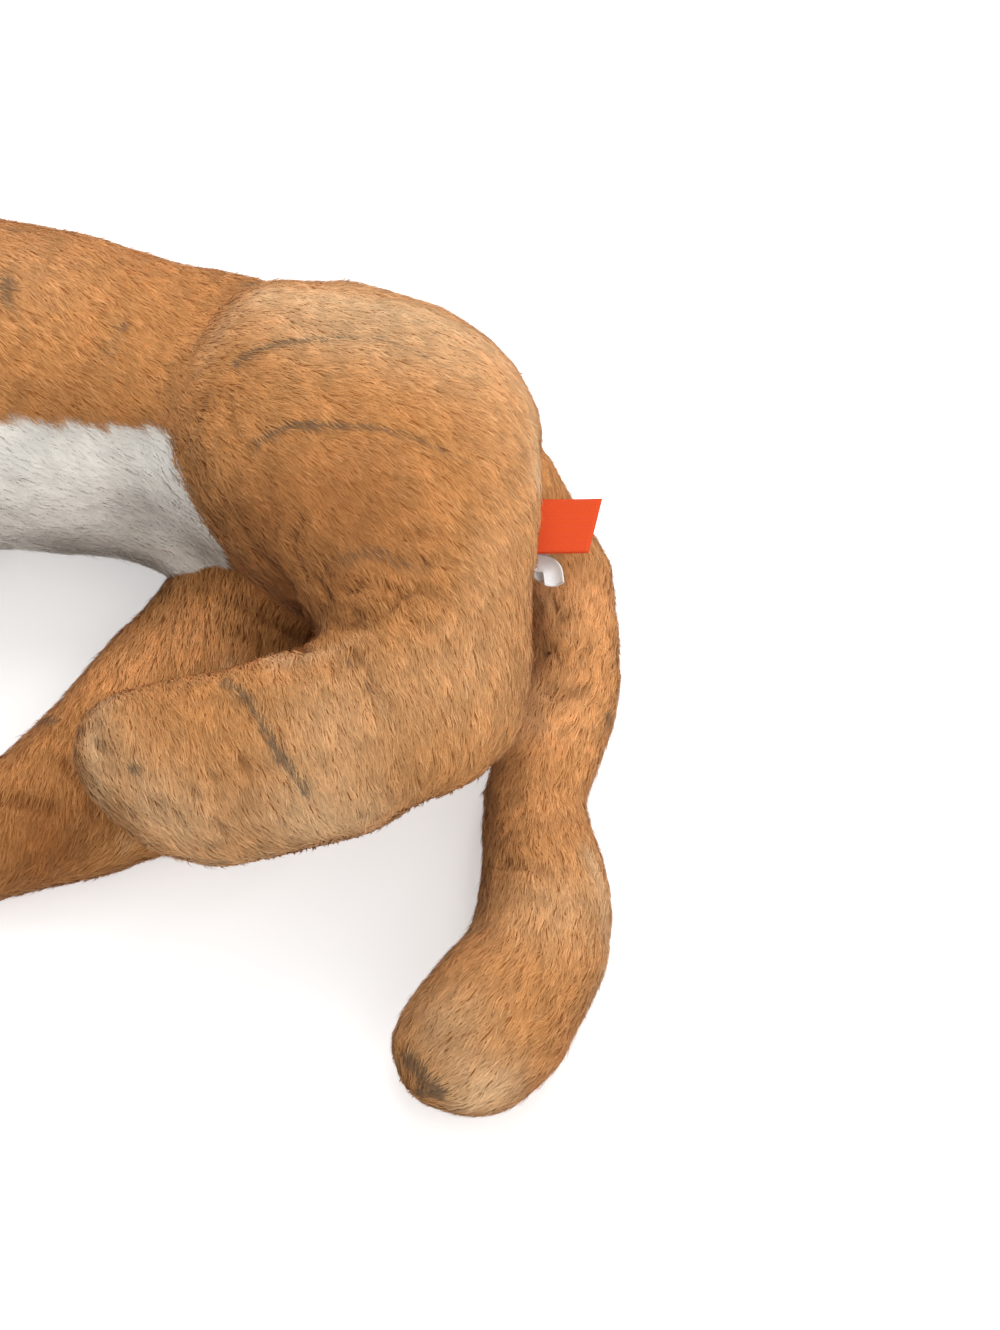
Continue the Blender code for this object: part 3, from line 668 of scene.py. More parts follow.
def merged(node: str) -> bmesh.types.BMesh:
    """Return a CAD node's mesh with its loose triangles joined.

    Args:
        node: the CAD node's name.

    Returns:
        A new BMesh, which the caller frees.
    """
    bm = bmesh.new()
    bm.from_mesh(frame["nodes"][node].data)
    bmesh.ops.remove_doubles(bm, verts=bm.verts, dist=MERGE_DISTANCE)
    return bm


def node_tree(*nodes: str) -> BVHTree:
    """Return a search tree over some CAD nodes.

    Args:
        *nodes: the CAD nodes' names.

    Returns:
        A tree for finding the nearest place.
    """
    whole = bmesh.new()
    for node in nodes:
        whole.from_mesh(frame["nodes"][node].data)
    tree = BVHTree.FromBMesh(whole)
    whole.free()
    return tree


def corner_areas(mesh: bpy.types.Mesh) -> np.ndarray:
    """Return the area that belongs to each of a mesh's points.

    Args:
        mesh: the mesh.

    Returns:
        One area in square metres for each point.
    """
    areas = np.zeros(len(mesh.vertices))
    for face in mesh.polygons:
        share = face.area / len(face.vertices)
        for i in face.vertices:
            areas[i] += share
    return areas


def smooth_step(values: np.ndarray, low: float, high: float) -> np.ndarray:
    """Rise smoothly from 0 at low to 1 at high."""
    share = np.clip((values - low) / (high - low), 0, 1)
    return share * share * (3 - 2 * share)


def fade(gap: np.ndarray, reach: float) -> np.ndarray:
    """Fall smoothly from 1 at a place to almost 0 at twice its reach."""
    return np.exp(-(gap / reach) ** 2)


@dataclass(frozen=True)
class Stripe:
    """A dark stroke in the pile along a few points."""

    points: tuple
    half_width: float = 0.0016
    start: float = 1.0
    end: float = 1.0

    def mask(self, points: np.ndarray, route: np.ndarray) -> np.ndarray:
        """Return how dark each point is.

        Args:
            points: rows of places to colour.
            route: the stroke's own points in metres.

        Returns:
            A darkness from 0 to 1 for each row.
        """
        dark = np.zeros(len(points))
        count = len(route) - 1
        for i, (near, far) in enumerate(zip(route, route[1:])):
            run = far - near
            share = np.clip((points - near) @ run / max(run @ run, LEAST), 0, 1)
            gap = np.linalg.norm(points - near - share[:, None] * run, axis=1)
            level = self.start + (self.end - self.start) * (i + share) / count
            dark = np.maximum(dark, level * fade(gap, self.half_width))
        return dark


def strokes(*rows: tuple) -> tuple[Stripe, ...]:
    """Make strokes from rows of half width, strength at the start and at the end, and then the points."""
    return tuple(Stripe(row[3:], *row[:3]) for row in rows)


# Strokes that the photograph shows, as pixels of its frame
SEEN_STRIPES = strokes(
    (0.0012, 0.95, 0.7, (228, 363), (255, 348), (293, 339), (338, 336)),
    (0.0010, 0.6, 0.3, (338, 336), (376, 339), (415, 353), (459, 379)),
    (0.0013, 0.9, 0.85, (253, 438), (281, 424), (306, 422), (338, 423)),
    (0.0011, 0.75, 0.35, (338, 423), (370, 425), (399, 431), (430, 442), (459, 458)),
    (0.0018, 0.55, 0.5, (338, 552), (367, 545), (399, 558), (421, 562)),
    (0.0018, 0.75, 0.25, (118, 321), (105, 337), (102, 353), (106, 376)),
    (0.0026, 0.9, 0.5, (0, 276), (2, 302)),
    (0.0017, 0.75, 0.85, (224, 680), (242, 687), (260, 718), (281, 753), (302, 781)),
    (0.0018, 0.45, 0.3, (345, 655), (368, 683), (393, 718)),
    (0.0016, 0.8, 0.8, (129, 758), (134, 763)),
    (0.0016, 0.85, 0.8, (45, 719), (62, 718)),
    (0.0010, 0.6, 0.4, (92, 696), (106, 695)),
    (0.0014, 0.5, 0.5, (160, 791), (163, 794)),
    (0.0014, 0.5, 0.5, (199, 834), (202, 838)),
    (0.0016, 0.8, 0.6, (609, 709), (611, 717)),
    (0.0030, 0.9, 1.0, (411, 1050), (427, 1066), (437, 1078), (446, 1088)),
    (0.0024, 0.9, 0.9, (421, 1086), (446, 1088)),
)


class PileGraph(Graph):
    """Geometry nodes in the few forms that the pile repeats."""

    SEEDS = {"roll": 11, "pitch": 12, "yaw": 13, "length": 14, "shade": 15, "break": 16, "stray": 17}
    DRIFT_GAIN = 4.0

    def geometry(self, kind: str, inputs: dict, **settings: object) -> bpy.types.NodeSocket:
        """Add a geometry node and return its first result."""
        return self.add("GeometryNode" + kind, inputs, **settings).outputs[0]

    def named(self, name: str, kind: str = "FLOAT") -> bpy.types.NodeSocket:
        """Read an attribute."""
        node = self.add("GeometryNodeInputNamedAttribute", {"Name": name}, data_type=kind)
        return node.outputs["Attribute"]

    def nearest(self, skin: object, value: object, kind: str = "FLOAT_VECTOR") -> bpy.types.NodeSocket:
        """Read a value at the nearest place on the skin."""
        return self.geometry("SampleNearestSurface", {"Mesh": skin, "Value": value}, data_type=kind)

    def keep(self, geometry: object, name: str, value: object, kind: str = "FLOAT",
             domain: str = "INSTANCE") -> bpy.types.NodeSocket:
        """Keep a value on every strand, or on every point, under a name."""
        inputs = {"Geometry": geometry, "Name": name, "Value": value}
        return self.geometry("StoreNamedAttribute", inputs, data_type=kind, domain=domain)

    def random(self, use: str, low: float = 0.0, high: float = 1.0) -> bpy.types.NodeSocket:
        """Return a fixed random number for each strand, by what it is used for."""
        inputs = {2: low, 3: high, 8: self.SEEDS[use]}
        return self.add("FunctionNodeRandomValue", inputs, data_type="FLOAT").outputs[1]

    def drift(self, place: object, scale: float, amount: object) -> bpy.types.NodeSocket:
        """Return a slowly varying push to the combing direction.

        Args:
            place: where it is read.
            scale: how quickly it varies.
            amount: how strong the push is.

        Returns:
            The push as a vector.
        """
        cloud = self.add("ShaderNodeTexNoise", {"Vector": place, "Scale": scale, "Detail": 1.0})
        centred = self.vector("SUBTRACT", cloud.outputs["Color"], (0.5, 0.5, 0.5))
        return self.vector("SCALE", centred, self.math("MULTIPLY", amount, self.DRIFT_GAIN))


class PileTree:
    """The node tree that grows combed, lightly matted strands on a skin."""

    # Along the skin, above it, half width and share of the way to the tip
    STRAND = ((0.0, -0.05, 0.028, 0.0), (0.45, 0.14, 0.031, 0.45), (1.0, 0.13, 0.0, 1.0))
    SOFTNESS = 0.88
    PULL = 0.26
    SWIRL_SCALE = 75.0
    FUZZ_SCALE = 330.0
    FUZZ_SHARE = 1.5
    # The most that a strand turns each way, in radians
    LEANS = (("roll", 0.22), ("pitch", 0.08), ("yaw", 0.24))
    # A few strands stand well off the rest
    STRAY_POWER = 12.0
    STRAY_LEAN = -0.25
    LENGTHS = (0.72, 1.18)
    INK_BREAKS = 0.5
    INK_GAIN = 2.6
    PIECE_STRANDS = 62000
    # Where a strand starts in its cell of the UV map, and how much of the cell it takes
    CELL_ACROSS = (0.15, 0.7)
    CELL_ALONG = (0.08, 0.84)
    INPUTS = (
        ("Strand", "NodeSocketObject"),
        ("Density", "NodeSocketFloat"),
        ("Length", "NodeSocketFloat"),
        ("Unrest", "NodeSocketFloat"),
        ("Lock Size", "NodeSocketFloat"),
        ("Seed", "NodeSocketInt"),
        ("Finish", "NodeSocketMaterial"),
    )

    def __init__(self) -> None:
        """Build the strand and the tree."""
        self.strand = self.build_strand()
        self.tree = bpy.data.node_groups.new("pile", "GeometryNodeTree")
        face = self.tree.interface
        face.new_socket("Geometry", in_out="INPUT", socket_type="NodeSocketGeometry")
        face.new_socket("Geometry", in_out="OUTPUT", socket_type="NodeSocketGeometry")
        self.sockets = {name: face.new_socket(name, in_out="INPUT", socket_type=kind).identifier
                        for name, kind in self.INPUTS}
        self.build_tree()

    def build_strand(self) -> bpy.types.Object:
        """Make one tapering strand of unit length that leans along +X.

        Returns:
            The strand as an object.
        """
        *pairs, (x, z, _, share) = self.STRAND
        points = [(x, side * half, z) for x, z, half, _ in pairs for side in (-1, 1)] + [(x, 0.0, z)]
        along = [pair[3] for pair in pairs for _ in (0, 1)] + [share]
        faces = [(i, i + 2, i + 3, i + 1) for i in range(0, 2 * len(pairs) - 2, 2)]
        last = len(points) - 1
        faces.append((last - 2, last, last - 1))
        mesh = bpy.data.meshes.new("strand")
        mesh.from_pydata(points, [], faces)
        store(mesh, "along", np.array(along))
        mesh.shade_smooth()
        return link_mesh("strand", mesh)

    def build_tree(self) -> None:
        """Scatter points, comb them by the skin's own directions and put a strand on each."""
        g = PileGraph(self.tree)
        given = g.add("NodeGroupInput").outputs
        skin, unrest, lock = given["Geometry"], given["Unrest"], given["Lock Size"]
        density = g.math("MULTIPLY", given["Density"], g.named("cover"))
        roots = g.add("GeometryNodeDistributePointsOnFaces",
                      {"Mesh": skin, "Density": density, "Seed": given["Seed"]}).outputs
        place = g.geometry("InputPosition", {})
        swirl = g.drift(place, self.SWIRL_SCALE, unrest)
        fuzz = g.drift(place, self.FUZZ_SCALE, g.math("MULTIPLY", unrest, self.FUZZ_SHARE))
        fineness = g.math("DIVIDE", 1.0, lock)
        cells = g.add("ShaderNodeTexVoronoi", {"Vector": place, "Scale": fineness}).outputs
        pull = g.vector("SUBTRACT", cells["Position"], place)
        pull = g.vector("SCALE", pull, g.math("DIVIDE", self.PULL, lock))
        way = g.vector("ADD", g.named("comb", "FLOAT_VECTOR"), swirl)
        way = g.vector("ADD", way, g.vector("ADD", fuzz, pull))
        turn = g.add("FunctionNodeAxesToRotation", {"Primary Axis": roots["Normal"], "Secondary Axis": way},
                     primary_axis="Z", secondary_axis="X").outputs[0]
        roll, pitch, yaw = (g.random(use, -most, most) for use, most in self.LEANS)
        stray = g.math("MULTIPLY", g.math("POWER", g.random("stray"), self.STRAY_POWER), self.STRAY_LEAN)
        lean = g.combine(roll, g.math("ADD", pitch, stray), yaw)
        lean = g.add("FunctionNodeEulerToRotation", {0: lean}).outputs[0]
        turn = g.add("FunctionNodeRotateRotation", {0: turn, 1: lean}, rotation_space="LOCAL").outputs[0]
        size = g.math("MULTIPLY", given["Length"], g.random("length", *self.LENGTHS))
        size = g.math("MULTIPLY", size, g.named("pile"))
        strand = g.add("GeometryNodeObjectInfo", {"Object": given["Strand"]}).outputs["Geometry"]
        sown = g.geometry("InstanceOnPoints", {"Points": roots["Points"], "Instance": strand,
                                               "Rotation": turn, "Scale": g.combine(size, size, size)})
        tuft = g.add("ShaderNodeSeparateXYZ", {0: cells["Color"]}).outputs[0]
        ink = g.math("SUBTRACT", g.named("stripe"), g.math("MULTIPLY", g.random("break"), self.INK_BREAKS))
        ink = g.math("MULTIPLY", ink, self.INK_GAIN, clamp=True)
        for name, value in (("shade", g.random("shade")), ("tuft", tuft), ("ink", ink)):
            sown = g.keep(sown, name, value)
        for name, value in (("facing", roots["Normal"]), ("root", place)):
            sown = g.keep(sown, name, value, "FLOAT_VECTOR")
        real = self.follow_skin(g, g.geometry("RealizeInstances", {0: sown}), skin, place)
        for spare in ("comb", "cover", "pile", "stripe", "root", "height"):
            real = g.geometry("RemoveAttribute", {"Geometry": real, "Name": spare})
        real = g.geometry("SetMaterial", {"Geometry": real, "Material": given["Finish"]})
        g.add("NodeGroupOutput", {0: real})

    def follow_skin(self, g: PileGraph, strands: object, skin: object,
                    place: object) -> bpy.types.NodeSocket:
        """Bend the strands round the skin at the heights that they have above their roots.

        Args:
            g: the graph that nodes are added to.
            strands: the strands' geometry.
            skin: the skin's geometry.
            place: the socket of the points' places.

        Returns:
            The bent strands' geometry.
        """
        facing = g.named("facing", "FLOAT_VECTOR")
        rise = g.vector("SUBTRACT", place, g.named("root", "FLOAT_VECTOR"))
        height = g.add("ShaderNodeVectorMath", {0: rise, 1: facing}, operation="DOT_PRODUCT")
        under = g.nearest(skin, place)
        # The creases' mask, for the painted shade on the strands in them
        fold = g.nearest(skin, g.named("fold"), "FLOAT")
        normal = g.vector("NORMALIZE", g.nearest(skin, g.geometry("InputNormal", {})))
        for name, value, kind in (("height", height.outputs["Value"], "FLOAT"),
                                  ("facing", normal, "FLOAT_VECTOR"), ("fold", fold, "FLOAT")):
            strands = g.keep(strands, name, value, kind, "POINT")
        lifted = g.vector("ADD", under, g.vector("SCALE", facing, g.named("height")))
        return g.geometry("SetPosition", {"Geometry": strands, "Position": lifted})

    def grow(self, name: str, skin: bpy.types.Mesh, density: float, length: float, unrest: float,
             lock: float, finish: bpy.types.Material) -> bpy.types.Object:
        """Grow strands on a skin.

        Args:
            name: the pile's object name.
            skin: a mesh with the attributes comb, cover, pile, stripe, pale, tone, gain and fold.
            density: strands for a square metre.
            length: a full strand's length in metres.
            unrest: how far the combing wanders.
            lock: the size of the matted locks in metres.
            finish: the strands' material.

        Returns:
            The pile as a plain mesh object.
        """
        pile = link_mesh(name, skin.copy())
        pile.visible_shadow = False
        step = pile.modifiers.new("pile", "NODES")
        step.node_group = self.tree
        values = (self.strand, density, length, unrest, lock, SEED, finish)
        for (label, _), value in zip(self.INPUTS, values):
            step[self.sockets[label]] = value
        settle(pile)
        points = coordinates(pile.data)
        points[:, 2] = np.maximum(points[:, 2], FLOOR_REST / 2)
        place_points(pile.data, points)
        self.map_strands(pile.data)
        self.soften(pile.data)
        return pile

    def soften(self, mesh: bpy.types.Mesh) -> None:
        """Turn the strands' shading most of the way towards the skin's own, as soft pile looks.

        Args:
            mesh: the strands' mesh.
        """
        facing = read(mesh.attributes["facing"].data, "vector", 3)
        mesh.attributes.remove(mesh.attributes["facing"])
        own = read(mesh.vertex_normals, "vector", 3)
        own *= np.where(np.sum(own * facing, axis=1, keepdims=True) < 0, -1, 1)
        mixed = facing * self.SOFTNESS + own * (1 - self.SOFTNESS)
        mixed /= np.maximum(np.linalg.norm(mixed, axis=1, keepdims=True), LEAST)
        mesh.normals_split_custom_set_from_vertices(mixed)

    def map_strands(self, mesh: bpy.types.Mesh) -> None:
        """Give each strand its own small cell of a UV map.

        Args:
            mesh: the strands' mesh.
        """
        corners = 2 * (len(self.STRAND) - 1) + 1
        across = np.array([0.0, 1.0] * (len(self.STRAND) - 1) + [0.5])
        along = np.array([s[3] for s in self.STRAND[:-1] for _ in (0, 1)] + [1.0])
        index = np.arange(len(mesh.vertices))
        cells = math.ceil(math.sqrt(len(index) / corners))
        strand = index // corners
        left, wide = self.CELL_ACROSS
        low, high = self.CELL_ALONG
        u = (strand % cells + left + wide * across[index % corners]) / cells
        v = (strand // cells + low + high * along[index % corners]) / cells
        loops = read(mesh.loops, "vertex_index", kind=np.int32)
        layer = mesh.uv_layers.new(name="OFBake")
        layer.data.foreach_set("uv", np.stack((u[loops], v[loops]), 1).astype(np.float32).ravel())


@dataclass(frozen=True)
class Bend:
    """Where a part's root would bend between two bodies; only whether a part has one is read here."""

    root: str
    start: Point
    end: Point


@dataclass(frozen=True)
class Glow:
    """A place of painted light on the pile: a painted highlight, or painted shade where its amount is
    negative, and painted brightening of its level.
    """

    pixel: Pixel
    reach: float
    amount: float
    gain: float = 0.0


# Painted highlights and painted shade of the pile, where the photograph shows it paler and deeper: pixels of
# its frame, reach, amount and painted brightening
SEEN_GLOWS = tuple(Glow((x, y), *rest) for x, y, *rest in (
    (285, 308, 0.017, 0.4), (345, 318, 0.017, 0.4), (410, 328, 0.018, 0.4), (470, 355, 0.016, 0.3),
    (515, 425, 0.016, 0.2), (520, 520, 0.016, 0.15), (350, 500, 0.019, -0.7), (270, 490, 0.015, -0.55),
    (240, 520, 0.010, -0.3), (400, 560, 0.016, -0.35), (330, 600, 0.012, -0.5), (200, 400, 0.012, -0.3),
    (120, 415, 0.012, -0.5), (40, 412, 0.012, -0.45), (20, 265, 0.02, 0.15), (460, 660, 0.022, 0.25),
    (330, 720, 0.018, 0.35), (300, 820, 0.015, 0.6), (370, 815, 0.012, 0.4), (180, 820, 0.015, 0.5),
    (130, 790, 0.012, 0.35), (470, 560, 0.014, 0.2), (105, 735, 0.010, 0.3), (300, 608, 0.010, -1.2),
    (275, 575, 0.010, -0.6), (60, 770, 0.016, -0.2), (30, 865, 0.022, -0.7), (60, 835, 0.012, -0.5),
    (60, 545, 0.010, -0.65), (130, 555, 0.010, -0.65), (200, 545, 0.010, -0.7), (130, 505, 0.012, -0.55),
    (480, 930, 0.016, 0.1), (560, 900, 0.015, 0.35), (470, 1080, 0.009, 0.3), (505, 1085, 0.010, 0.7),
    (440, 1020, 0.012, 0.3), (470, 1010, 0.012, 0.2), (410, 1075, 0.008, -0.3),
    (200, 620, 0.014, 0.1, 0.6), (130, 660, 0.014, 0.1, 0.3), (570, 600, 0.016, 0.2, 0.35),
    (560, 700, 0.016, 0.2, 0.3), (540, 800, 0.012, 0.1, 0.1),
))


@dataclass(frozen=True)
class Nudge:
    """A small move of a part's skin round the place that shows at a pixel."""

    part: str
    pixel: Pixel
    reach: float
    right: float = 0.0
    up: float = 0.0
    near: float = 0.0


# Where the stuffed outline in the photograph leaves the plain solids: pixels of its frame, reach, and
# moves to the right, up and near
SEEN_NUDGES = tuple(Nudge(part, (x, y), *rest) for part, rows in (
    ("trunk", ((30, 225, 0.030, 0, -0.002), (245, 290, 0.018, 0, 0.0055),
               (590, 490, 0.015, -0.003, -0.003), (250, 590, 0.018, 0, 0, -0.008))),
    ("left_hind_leg", ((245, 290, 0.016, 0, 0.0045), (420, 305, 0.028, 0, -0.002),
                       (535, 400, 0.014, 0.0015), (530, 560, 0.020, 0.004), (528, 660, 0.020, 0.0035),
                       (420, 818, 0.015, 0, 0.002), (215, 862, 0.014, 0, -0.0035))),
    ("tail_plush", ((620, 600, 0.030, -0.004), (600, 500, 0.016, -0.004, -0.003),
                    (590, 800, 0.010, -0.001), (468, 870, 0.012, 0.0025), (470, 1120, 0.015, 0, 0.002),
                    (600, 1020, 0.015, -0.002), (610, 880, 0.014, 0.001), (388, 1030, 0.012, -0.001))),
    ("right_hind_leg", ((70, 685, 0.034, -0.002, 0.005), (240, 600, 0.022, 0, 0.005, 0.011),
                        (150, 862, 0.012, 0, 0.0015))),
) for x, y, *rest in rows)

# Creases in the cloth, pressed into the skin and darkened with painted shade, as pixels of the photograph
SEEN_CREASES = strokes(
    (0.0017, 1.0, 0.3, (312, 640), (270, 618), (238, 600), (205, 590)),
    (0.0015, 0.8, 0.3, (306, 652), (262, 640), (222, 628), (190, 628)),
    (0.0022, 1.0, 0.5, (312, 632), (298, 600), (280, 570), (255, 552)),
    (0.0012, 1.0, 0.5, (345, 592), (360, 586), (372, 584), (398, 590)),
    (0.0014, 1.0, 0.5, (355, 618), (385, 612), (412, 588), (436, 592), (455, 596)),
    (0.0012, 0.7, 0.4, (340, 628), (372, 626), (404, 620), (425, 628)),
    (0.0011, 0.9, 0.4, (400, 536), (412, 537), (425, 535), (450, 532)),
    (0.0010, 0.6, 0.3, (420, 560), (452, 566), (480, 570)),
    (0.0013, 0.8, 0.5, (330, 560), (318, 580), (330, 600), (322, 615)),
    (0.0012, 0.6, 0.4, (300, 520), (292, 545), (305, 575)),
    (0.0013, 0.8, 0.2, (352, 652), (372, 684), (392, 706)),
    (0.0018, 0.6, 0.3, (238, 760), (250, 775), (262, 766)),
    (0.0012, 0.5, 0.3, (228, 395), (234, 430), (250, 455)),
    (0.0012, 0.5, 0.3, (205, 400), (196, 425), (186, 445)),
    (0.0022, 1.0, 0.8, (0, 799), (25, 803), (49, 810)),
    (0.0016, 0.7, 0.5, (60, 760), (85, 790), (95, 815)),
    (0.0012, 0.6, 0.4, (60, 740), (80, 735), (98, 726)),
    (0.0016, 0.8, 0.4, (500, 862), (525, 866), (552, 878)),
    (0.0012, 0.5, 0.3, (484, 850), (492, 866), (486, 884)),
    (0.0012, 0.8, 0.5, (552, 600), (560, 618), (570, 612)),
    (0.0014, 0.9, 0.5, (540, 655), (552, 648), (560, 660), (566, 652)),
    (0.0015, 0.9, 0.5, (545, 690), (560, 696), (585, 692)),
    (0.0011, 0.7, 0.4, (575, 640), (582, 655), (590, 650)),
    (0.0012, 0.6, 0.3, (560, 728), (580, 736), (596, 748)),
    (0.0013, 0.45, 0.30, (95, 745), (108, 752), (120, 744)),
    (0.0011, 0.55, 0.40, (150, 800), (158, 806)),
    (0.0011, 0.55, 0.40, (175, 812), (182, 822)),
    (0.0010, 0.45, 0.40, (190, 790), (200, 797)),
    (0.0010, 0.45, 0.40, (140, 772), (150, 776)),
    (0.0011, 0.45, 0.30, (215, 820), (222, 830)),
    (0.0010, 0.35, 0.30, (205, 770), (213, 778)),
    (0.0012, 0.45, 0.30, (120, 800), (132, 815)),
)

# Painted highlights along edges, where light through the pile makes it paler, as pixels of the photograph
SEEN_HALOS = strokes(
    (0.0040, 0.6, 0.2, (233, 668), (280, 660), (330, 645), (365, 630)),
    (0.0050, 0.3, 0.2, (250, 300), (225, 320), (200, 360), (188, 405), (192, 440)),
    (0.0050, 0.3, 0.35, (260, 296), (350, 302), (430, 318), (490, 350), (525, 400), (535, 470)),
    (0.0050, 0.45, 0.3, (535, 470), (535, 560), (532, 640), (528, 720)),
    (0.0040, 0.4, 0.3, (600, 560), (618, 620), (622, 680), (600, 760)),
    (0.0040, 0.4, 0.4, (110, 700), (90, 740), (95, 780), (130, 840), (180, 855), (260, 855)),
    (0.0045, 0.6, 0.4, (588, 850), (602, 900), (606, 950), (596, 1010), (570, 1060), (525, 1095),
     (470, 1105)),
)


@dataclass
class PlushPart:
    """One stuffed part of the toy: its cloth, the pile on it and the body that carries it."""

    CALM_FACTOR = 0.5
    # The highest that a joining rises, as a share of its fillet
    JOINING_SHARE = 0.25
    STUFF_FRAMES = 14
    CLOTH_QUALITY = 4
    CLOTH_MASS = 0.25
    CLOTH_STIFFNESS = 12
    FILL_PRESSURE = 4
    # How deep a point lies in another part before its pile is left out, and how far to look
    BURIED_DEPTH = 0.003
    BURIED_REACH = 0.04
    # Pile is thinned where the toy's weight presses it on the floor, on what faces down
    FACES_DOWN = -0.5
    PRESSED_HEIGHT = 4 * FLOOR_REST
    PRESSED_COVER = 0.25
    # How strongly depth counts when a pixel's nearest point is sought
    DEPTH_WEIGHT = 0.05

    name: str
    body: str
    form_nodes: tuple[str, ...]
    replaced: tuple[str, ...]
    flow: Callable[[np.ndarray], np.ndarray]
    strands: dict[Coat, int]
    pale_nodes: tuple[str, ...] = ()
    orange_nodes: tuple[str, ...] = ()
    bend: Bend | None = None
    voxel: float = 0.0042
    overlap: float = 0.0006
    drawn_in: float = -0.0023
    puff_cap: float = 0.0022
    smoothing: int = 6
    levels: int = 1
    length: float = 0.0053
    unrest: float = 0.17
    lock: float = 0.0042
    fill: float = 0.8
    fillet: float = 0.024
    crease_depth: float = 0.0024
    swells: tuple[Span, ...] = ((0.019, 0.0009), (0.008, 0.0005))
    # Neighbours that this part moves away from, so the pile goes on where they touch at rest
    leaves: tuple[str, ...] = ()
    skin: bpy.types.Object | None = field(default=None, init=False)
    tree: BVHTree | None = field(default=None, init=False)
    creased: np.ndarray | None = field(default=None, init=False)
    open_air: np.ndarray | None = field(default=None, init=False)

    def form(self) -> bpy.types.Object:
        """Join the CAD solids into one closed, even mesh.

        Returns:
            The part's plain form as an object.
        """
        whole = bmesh.new()
        for node in self.form_nodes:
            solid = merged(node)
            for vertex in solid.verts:
                vertex.co += vertex.normal * (self.overlap if len(self.form_nodes) > 1 else 0)
            spare = finished(solid, "spare")
            whole.from_mesh(spare)
            bpy.data.meshes.remove(spare)
        made = link_mesh(self.name, finished(whole, self.name))
        even = made.modifiers.new("even", "REMESH")
        even.mode = "VOXEL"
        even.voxel_size = self.voxel
        return settle(made)

    def build_skin(self) -> None:
        """Build the cloth: form, smoothing, stuffing pressure and a finer mesh."""
        skin = self.form()
        calm = skin.modifiers.new("calm", "SMOOTH")
        calm.factor = self.CALM_FACTOR
        calm.iterations = self.smoothing
        settle(skin)
        mesh = skin.data
        place_points(mesh, coordinates(mesh) - directions(mesh) * self.drawn_in)
        self.stuff(skin)
        refine(skin, self.levels)
        self.skin = skin
        self.shape(np.zeros(len(skin.data.vertices)))
        skin.data.shade_smooth()
        LOG.info("%s skin: %d faces", self.name, len(skin.data.polygons))

    def shape(self, lift: np.ndarray) -> None:
        """Lift the skin's points along their normals, rest it on the floor and keep a search tree.

        Args:
            lift: how far each point rises in metres.
        """
        mesh = self.skin.data
        points = coordinates(mesh) + directions(mesh) * lift[:, None]
        points[:, 2] = np.maximum(points[:, 2], FLOOR_REST)
        place_points(mesh, points)
        bm = bmesh.new()
        bm.from_mesh(mesh)
        self.tree = BVHTree.FromBMesh(bm)
        bm.free()

    def nudge(self, nudges: Iterable[Nudge], lens: Lens) -> None:
        """Move the skin a little where its outline should lie elsewhere.

        Args:
            nudges: the moves of all parts.
            lens: the photograph's viewpoint.
        """
        points = coordinates(self.skin.data)
        for nudge in nudges:
            if nudge.part != self.name:
                continue
            way = np.array(lens.ray(nudge.pixel))
            far = points - np.array(lens.place)
            along = far @ way
            aside = np.linalg.norm(far - along[:, None] * way, axis=1)
            middle = points[np.argmin(aside + self.DEPTH_WEIGHT * along)]
            gap = np.linalg.norm(points - middle, axis=1)
            move = lens.right * nudge.right + lens.up * nudge.up + lens.back * nudge.near
            points += fade(gap, nudge.reach)[:, None] * np.array(move)
        place_points(self.skin.data, points)
        self.shape(np.zeros(len(points)))

    def fold(self, creases: Iterable[tuple[Stripe, np.ndarray]]) -> None:
        """Press creases into the skin and remember where they lie, for the painted shade in them.

        Args:
            creases: strokes with their routes in metres.
        """
        points = coordinates(self.skin.data)
        self.creased = np.zeros(len(points))
        for crease, route in creases:
            self.creased = np.maximum(self.creased, crease.mask(points, route))
        self.shape(-self.crease_depth * self.creased)

    def joining_lift(self, others: Sequence[PlushPart]) -> np.ndarray:
        """Return the lift that rounds the creases where this part is sewn to others.

        Args:
            others: the parts it is sewn to.

        Returns:
            One height in metres for each point.
        """
        lift = np.zeros(len(self.skin.data.vertices))
        for i, vertex in enumerate(self.skin.data.vertices):
            for other in others:
                near, normal, _, gap = other.tree.find_nearest(vertex.co, self.fillet)
                if near is not None:
                    gap = gap if (vertex.co - near).dot(normal) > 0 else 0
                    rise = self.fillet * self.JOINING_SHARE * (1 - gap / self.fillet) ** 2
                    lift[i] = max(lift[i], rise)
        return lift

    def lumps(self) -> np.ndarray:
        """Return the uneven swell of loose filling under cloth."""
        return np.array([sum(height * noise.noise(vertex.co / size) for size, height in self.swells)
                         for vertex in self.skin.data.vertices])

    def stuff(self, skin: bpy.types.Object) -> None:
        """Press the filling against the cloth, and cap how far it swells.

        Args:
            skin: the cloth before it swells.
        """
        before = coordinates(skin.data)
        cloth = skin.modifiers.new("filling", "CLOTH")
        rules = cloth.settings
        rules.quality = self.CLOTH_QUALITY
        rules.mass = self.CLOTH_MASS
        rules.tension_stiffness = rules.compression_stiffness = self.CLOTH_STIFFNESS
        rules.use_pressure = True
        rules.uniform_pressure_force = self.FILL_PRESSURE
        rules.effector_weights.gravity = 0
        cloth.point_cache.frame_end = self.STUFF_FRAMES
        scene = bpy.context.scene
        for step in range(1, self.STUFF_FRAMES + 1):
            scene.frame_set(step)
        settle(skin)
        scene.frame_set(1)
        push = coordinates(skin.data) - before
        far = np.linalg.norm(push, axis=1, keepdims=True)
        push *= np.minimum(1, self.puff_cap / np.maximum(far, LEAST))
        place_points(skin.data, before + push)

